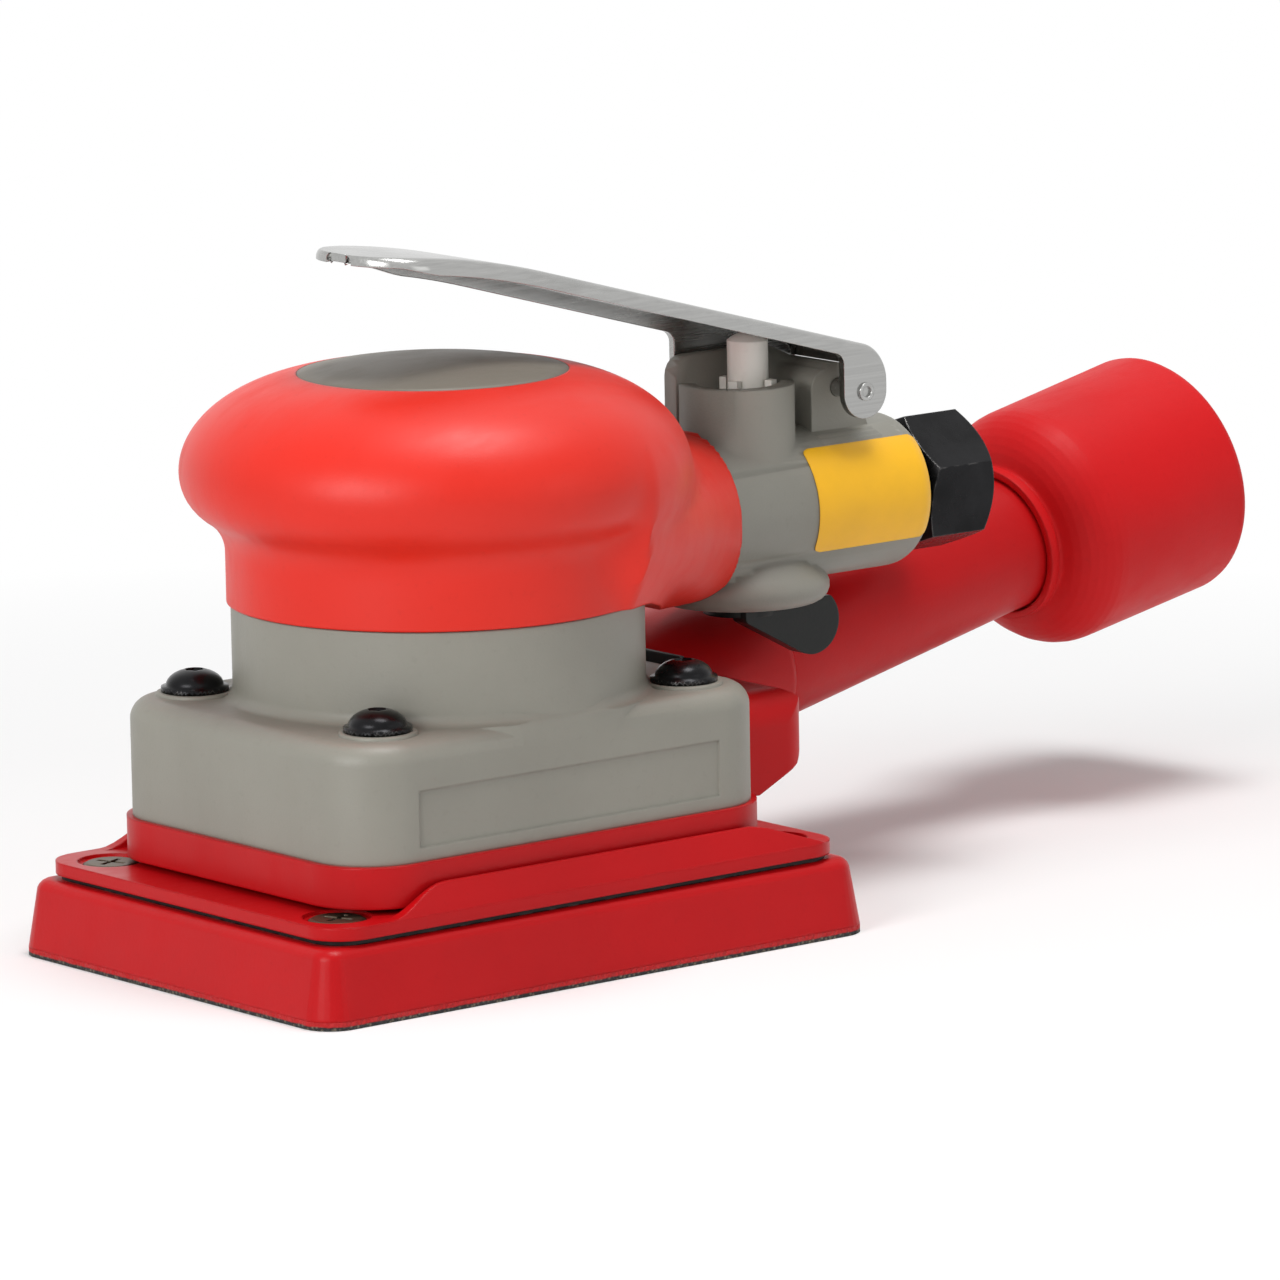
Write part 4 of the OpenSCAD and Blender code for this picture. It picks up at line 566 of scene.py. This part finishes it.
def cove(low):
    """Closed mesh of the cove round the sleeve's foot, no wider than the box."""
    foot = [(SLEEVE_R + COVE_R - COVE_R * math.sin(a), BOX_TOP + COVE_R - COVE_R * math.cos(a)) for a in ARC]
    profile = [(0, low), (SLEEVE_R + COVE_R, low)] + foot + [(0, BOX_TOP + COVE_R)]
    obj = new_object("cove", *turned(profile, 160))
    cut(obj, [soft_box(BOX_LOW, BOX_TOP + COVE_R)], "INTERSECT")
    mesh = [v.co.copy() for v in obj.data.vertices], [tuple(f.vertices) for f in obj.data.polygons]
    remove(obj)
    return mesh


def make_shroud():
    obj = new_object("shroud_shell", *soft_box(BOX_LOW, BOX_TOP), "grey_plastic")
    seats = [Matrix.Translation((sx * SEAT_X * MM, sy * SEAT_Y * MM, 0)) for sx in (-1, 1) for sy in (-1, 1)]
    edge_z, seat_z, high = BOX_TOP - BOX_EDGE, BOX_TOP + SEAT_RISE, 60
    disc = [(0, BOX_TOP - 2), (SEAT_R, BOX_TOP - 2), (SEAT_R, seat_z - SEAT_RIM),
            (SEAT_R - SEAT_RIM_MID, seat_z - SEAT_RIM_MID), (SEAT_R - SEAT_RIM, seat_z), (0, seat_z)]
    cut(obj, [rod(SLEEVE_R, edge_z, SLEEVE_TOP, 160), cove(edge_z)]
        + [turned(disc, 64, seat) for seat in seats], "UNION")
    inside = [rounded_ring(BOX_L - 2 * WALL, BOX_W - 2 * WALL, BOX_R - WALL, z)
              for z in (BOX_LOW - 2, BOX_TOP - TOP_T)]
    side = -BOX_W / 2
    cut(obj, [stacked(inside), rod(BORE_R, 10, high, 160),
              box_mesh(PANEL_X0, PANEL_X1, side - 1, side + PANEL_DEPTH, PANEL_Z0, PANEL_Z1)]
        + [rod(HEAD_ROOM_R, seat_z, high, 48, seat) for seat in seats]
        + [rod(SHANK_ROOM_R, 30, 50, 32, seat) for seat in seats])
    finish_mesh(obj, 30.0)
    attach(obj, "housing")
    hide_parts("shroud")


def moved_copy(node, name, slot, low=None):
    """A copy of a node's mesh that follows the screw seats: all of it, or more and more from low up."""
    mesh = nodes[node].data.copy()
    for v in mesh.vertices:
        share = 1.0 if low is None else min(1, max(0, (v.co.z / MM - low) / (BOX_TOP - low)))
        v.co.x += math.copysign(share, v.co.x) * SCREW_SHIFT[0] * MM
        v.co.y += math.copysign(share, v.co.y) * SCREW_SHIFT[1] * MM
        v.co.z += share * SCREW_SHIFT[2] * MM
    obj = bpy.data.objects.new(name, mesh)
    scene.collection.objects.link(obj)
    dress(obj, slot)
    finish_mesh(obj, 30.0)
    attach(obj, "housing")
    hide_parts(node)


make_shroud()
moved_copy("post_screws", "post_screw_set", "black_steel")
moved_copy("posts", "post_set", "black_rubber", POST_LOW)


# ---------------------------------------------------------------- plain label on the barrel
LABEL_X0, LABEL_X1, LABEL_LOW, LABEL_HIGH = 63.4, 85.7, math.radians(-31.5), math.radians(50.5)
LABEL_CORNER, LABEL_GAP, LABEL_T = 1.2, 0.06, 0.09


def make_label():
    """Film with rounded corners round the barrel's near side, bent over the round of its end."""
    r = BARREL_R + LABEL_GAP
    rows, cols = 48, 30
    arc = (LABEL_HIGH - LABEL_LOW) * r
    verts = []
    for lift in (0.0, LABEL_T):
        for i in range(rows + 1):
            s = arc * i / rows
            near = min(s, arc - s, LABEL_CORNER)
            trim = LABEL_CORNER - math.sqrt(max(0, LABEL_CORNER ** 2 - (LABEL_CORNER - near) ** 2))
            for j in range(cols + 1):
                x = LABEL_X0 + trim + (LABEL_X1 - LABEL_X0 - 2 * trim) * j / cols
                a = LABEL_LOW + s / r
                over = max(0.0, x - BARREL_X + BARREL_ROUND)
                rr = r + lift - BARREL_ROUND + math.sqrt(BARREL_ROUND ** 2 - over ** 2)
                verts.append(Vector((x, -rr * math.cos(a), BARREL_Z + rr * math.sin(a))) * MM)
    n, w = (rows + 1) * (cols + 1), cols + 1
    faces = []
    for i in range(rows):
        for j in range(cols):
            a = i * w + j
            faces.append((a, a + 1, a + w + 1, a + w))
            faces.append((n + a, n + a + w, n + a + w + 1, n + a + 1))
    rim = list(range(w)) + [i * w + cols for i in range(1, rows + 1)]
    rim += [rows * w + j for j in range(cols - 1, -1, -1)] + [i * w for i in range(rows - 1, 0, -1)]
    for a, b in zip(rim, rim[1:] + rim[:1]):
        faces.append((a, b, n + b, n + a))
    obj = new_object("plain_label", verts, faces)
    obj.data.materials.append(vinyl("label_vinyl", LABEL_YELLOW))
    finish_mesh(obj, 50.0)
    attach(obj, "housing")


make_label()


# ---------------------------------------------------------------- throttle lever, one folded sheet
# hinge, the sheet's height over it and the sheet's slope towards the tip
HINGE_X, HINGE_Z, RISE, SLOPE = 73.4, 75.7, 7.3, math.tan(math.radians(15.7))
TIP_X, TIP_R, BEND_X, HALF_W, SHEET = -16.8, 8.5, 13.4, 11.0, 1.2
# the sheet bends down from BEND_X on, and at the tip has lost this share of its slope
TIP_BEND = 0.88
# the near side's round ear and the far side's longer wing, with the rounds of their outlines
EAR_R, WING_L, WING_R, INNER_R, BACK_R, FOLD_R = 4.1, 20.0, 3.0, 1.4, 3.0, 1.7
EAR_X, WING_X, BACK_X, WING_FOOT = HINGE_X - EAR_R, HINGE_X - WING_L, HINGE_X + EAR_R, HINGE_Z - 0.8
# lips along both sides: where they start, how fast they deepen, and how deep they get
LIP_X, LIP_LOW, LIP_GROWTH, NEAR_LIP, FAR_LIP = TIP_X + 4, SHEET + 0.3, 0.18, 2.5, 4.1


def round_drop(r, over):
    """How far an arc of radius r has dropped, over millimetres past its top."""
    return r - math.sqrt(max(0.0, r ** 2 - over ** 2))


def lever_top(x):
    d = max(0.0, BEND_X - x)
    z = HINGE_Z + RISE + (HINGE_X - x) * SLOPE - SLOPE * TIP_BEND * d * d / 2 / (BEND_X - TIP_X)
    return z - round_drop(BACK_R, max(0.0, x - BACK_X + BACK_R))


def lever_lip(x, deepest):
    return min(deepest, LIP_LOW + max(0.0, x - LIP_X) * LIP_GROWTH)


def side_bottom(x, edge_x, level, foot):
    """Lower edge of a side: along the lip, round an inner corner at edge_x, then down to the foot."""
    if x < edge_x:
        return level - round_drop(INNER_R, max(0.0, x - edge_x + INNER_R))
    return foot(x)


def near_foot(x):
    return HINGE_Z - math.sqrt(max(0.0, EAR_R ** 2 - (x - HINGE_X) ** 2))


def far_foot(x):
    if x < EAR_X:
        return WING_FOOT + round_drop(WING_R, max(0.0, WING_X + WING_R - x))
    return min(WING_FOOT, near_foot(x)) if x < HINGE_X else near_foot(x)


def lever_stations():
    """Places along the lever where its section is taken: close together where the outline turns."""
    xs = [TIP_X + TIP_R * (1 - math.cos(math.pi / 2 * (i + 0.6) / 16)) for i in range(16)]
    flat_x, wing_in = TIP_X + TIP_R, WING_X - INNER_R
    xs += [flat_x + (wing_in - flat_x) * i / 40 for i in range(41)]
    xs += [WING_X - INNER_R * (1 - i / 8) ** 2 for i in range(9)] + [WING_X + 0.02]
    xs += [WING_X + WING_R * (i / 10) ** 2 for i in range(1, 11)]
    wing_flat = WING_X + WING_R
    xs += [wing_flat + (EAR_X - INNER_R - 0.1 - wing_flat) * i / 10 for i in range(1, 11)]
    xs += [EAR_X - INNER_R * (1 - i / 8) ** 2 for i in range(9)]
    xs += [HINGE_X - EAR_R * math.cos(math.pi * (i + 0.02) / 40) for i in range(40)] + [BACK_X - 0.002]
    return sorted(set(round(x, 4) for x in xs))


def lever_section(x):
    """The sheet's outer line across the lever at x, as (y, z) from the near foot to the far one."""
    top = lever_top(x)
    half = HALF_W - TIP_R + math.sqrt(TIP_R ** 2 - max(0.0, TIP_X + TIP_R - x) ** 2)
    fold = min(FOLD_R, lever_lip(x, NEAR_LIP) - 0.15)
    lowest = top - fold - 0.05
    near = min(lowest, side_bottom(x, EAR_X, top - lever_lip(x, NEAR_LIP), near_foot))
    far = min(lowest, side_bottom(x, WING_X, top - lever_lip(x, FAR_LIP), far_foot))
    side, crown = half - fold, top - fold
    arc = [(fold * math.cos(math.pi / 2 * i / 8), fold * math.sin(math.pi / 2 * i / 8)) for i in range(9)]
    line = [(-half, near + (crown - near) * i / 8) for i in range(8)]
    line += [(-side - c, crown + s) for c, s in arc]
    line += [(-side + 2 * side * i / 16, top) for i in range(1, 16)]
    line += [(side + c, crown + s) for c, s in arc[::-1]]
    return line + [(half, crown + (far - crown) * i / 8) for i in range(1, 9)]


def make_lever():
    sections = [[Vector((x, y, z)) * MM for y, z in lever_section(x)] for x in lever_stations()]
    across = len(sections[0])
    verts = [v for section in sections for v in section]
    faces = []
    for i in range(len(sections) - 1):
        for j in range(across - 1):
            a = i * across + j
            faces.append((a, a + 1, a + across + 1, a + across))
    obj = new_object("throttle_lever_sheet", verts, faces, "stainless")
    # the faces look outwards, because the sheet gets its thickness on their inner side
    bm = bmesh.new()
    bm.from_mesh(obj.data)
    bmesh.ops.recalc_face_normals(bm, faces=bm.faces)
    if sum(f.normal.z for f in bm.faces) < 0:
        bmesh.ops.reverse_faces(bm, faces=bm.faces)
    bm.to_mesh(obj.data)
    bm.free()
    shell = obj.modifiers.new("sheet", "SOLIDIFY")
    shell.thickness = SHEET * MM
    shell.offset = -1.0
    shell.use_even_offset = True
    bake(obj)
    finish_mesh(obj, 42.0)
    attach(obj, "lever")
    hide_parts("throttle_lever")


make_lever()


# ---------------------------------------------------------------- floor, light, camera
FLOOR_HALF, FLOOR_DROP, FLOOR_GLOW = 6.0, 0.00005, 0.1
# from the first to the second distance the floor turns as white as the world
FADE_FROM, FADE_TO = 0.17, 0.34
AMBIENT = 0.33


def floor():
    mesh = bpy.data.meshes.new("floor")
    corners = [(x * FLOOR_HALF, y * FLOOR_HALF, 0) for x, y in ((-1, -1), (1, -1), (1, 1), (-1, 1))]
    mesh.from_pydata(corners, [], [(0, 1, 2, 3)])
    obj = bpy.data.objects.new("floor", mesh)
    scene.collection.objects.link(obj)
    obj.location.z = -FLOOR_DROP
    n = Nodes("floor")
    n.tree.nodes.remove(n.bsdf)
    diffuse = n.add("ShaderNodeBsdfDiffuse")
    tint = n.mix(n.spread(n.noise(3.0, 3.0), 0.3, 0.7, 0.0, 1.0), (0.8, 0.8, 0.8, 1), (0.83, 0.83, 0.83, 1))
    n.link(tint, diffuse.inputs["Color"])
    glow = n.add("ShaderNodeEmission")
    path = n.add("ShaderNodeLightPath")
    mirrored = n.math("MAXIMUM", path.outputs["Is Glossy Ray"], path.outputs["Is Transmission Ray"])
    seen = n.math("MAXIMUM", path.outputs["Is Camera Ray"], mirrored)
    n.link(n.math("MULTIPLY", seen, FLOOR_GLOW), glow.inputs["Strength"])
    add = n.add("ShaderNodeAddShader")
    n.link(diffuse.outputs[0], add.inputs[0])
    n.link(glow.outputs[0], add.inputs[1])
    white = n.add("ShaderNodeEmission")
    away = n.add("ShaderNodeVectorMath", operation="LENGTH")
    n.link(n.coord, away.inputs[0])
    fade = n.add("ShaderNodeMixShader")
    whiteness = n.spread(away.outputs["Value"], FADE_FROM, FADE_TO, 0.0, 1.0)
    n.link(n.math("MULTIPLY", whiteness, seen), fade.inputs[0])
    n.link(add.outputs[0], fade.inputs[1])
    n.link(white.outputs[0], fade.inputs[2])
    n.link(fade.outputs[0], n.out.inputs["Surface"])
    mesh.materials.append(n.mat)


def world():
    """White where the camera or a reflection looks, and a plain soft light for all else."""
    w = bpy.data.worlds.new("studio")
    scene.world = w
    w.use_nodes = True
    t = w.node_tree
    t.nodes.clear()
    out = t.nodes.new("ShaderNodeOutputWorld")
    ambient, white = [t.nodes.new("ShaderNodeBackground") for _ in range(2)]
    for light, strength in ((ambient, AMBIENT), (white, 1.0)):
        light.inputs["Color"].default_value = (1, 1, 1, 1)
        light.inputs["Strength"].default_value = strength
    path = t.nodes.new("ShaderNodeLightPath")
    mix = t.nodes.new("ShaderNodeMixShader")
    seen = [t.nodes.new("ShaderNodeMath") for _ in range(2)]
    for node, other in zip(seen, ("Is Glossy Ray", "Is Transmission Ray")):
        node.operation = "MAXIMUM"
        t.links.new(path.outputs[other], node.inputs[0])
    t.links.new(path.outputs["Is Camera Ray"], seen[0].inputs[1])
    t.links.new(seen[0].outputs[0], seen[1].inputs[1])
    t.links.new(seen[1].outputs[0], mix.inputs[0])
    t.links.new(ambient.outputs[0], mix.inputs[1])
    t.links.new(white.outputs[0], mix.inputs[2])
    t.links.new(mix.outputs[0], out.inputs["Surface"])


def lamp(name, place, aim, size, power):
    data = bpy.data.lights.new(name, "AREA")
    data.shape = "RECTANGLE"
    data.size = size
    data.size_y = size
    data.energy = power
    obj = bpy.data.objects.new(name, data)
    scene.collection.objects.link(obj)
    obj.location = place
    obj.rotation_euler = (Vector(aim) - Vector(place)).to_track_quat("-Z", "Y").to_euler()


# the camera stands where the photograph was taken from: turned about Z, tilted from level and rolled
CAMERA_PLACE = (-0.82543, -1.07692, 0.29031)
CAMERA_TURN, CAMERA_TILT, CAMERA_ROLL = -38.719, -10.245, -1.026
CAMERA_LENS, CAMERA_SENSOR = 263.912, 36.0


def camera():
    data = bpy.data.cameras.new("camera")
    data.sensor_width = CAMERA_SENSOR
    data.lens = CAMERA_LENS
    data.clip_end = 20.0
    obj = bpy.data.objects.new("camera", data)
    scene.collection.objects.link(obj)
    turn = Matrix.Rotation(math.radians(CAMERA_TURN), 4, "Z")
    tilt = Matrix.Rotation(math.radians(90 + CAMERA_TILT), 4, "X")
    roll = Matrix.Rotation(math.radians(CAMERA_ROLL), 4, "Z")
    obj.matrix_world = Matrix.Translation(CAMERA_PLACE) @ turn @ tilt @ roll
    scene.camera = obj


floor()
world()
lamp("key", (-1.0, -0.3, 0.45), (0.02, 0, 0.05), 0.5, 7.0)
lamp("fill", (0.35, -1.1, 0.35), (0.04, 0, 0.05), 0.6, 0.8)
lamp("top", (0.12, -0.12, 1.05), (0.04, 0, 0.05), 0.42, 7.0)
camera()
scene.view_settings.view_transform = "Standard"
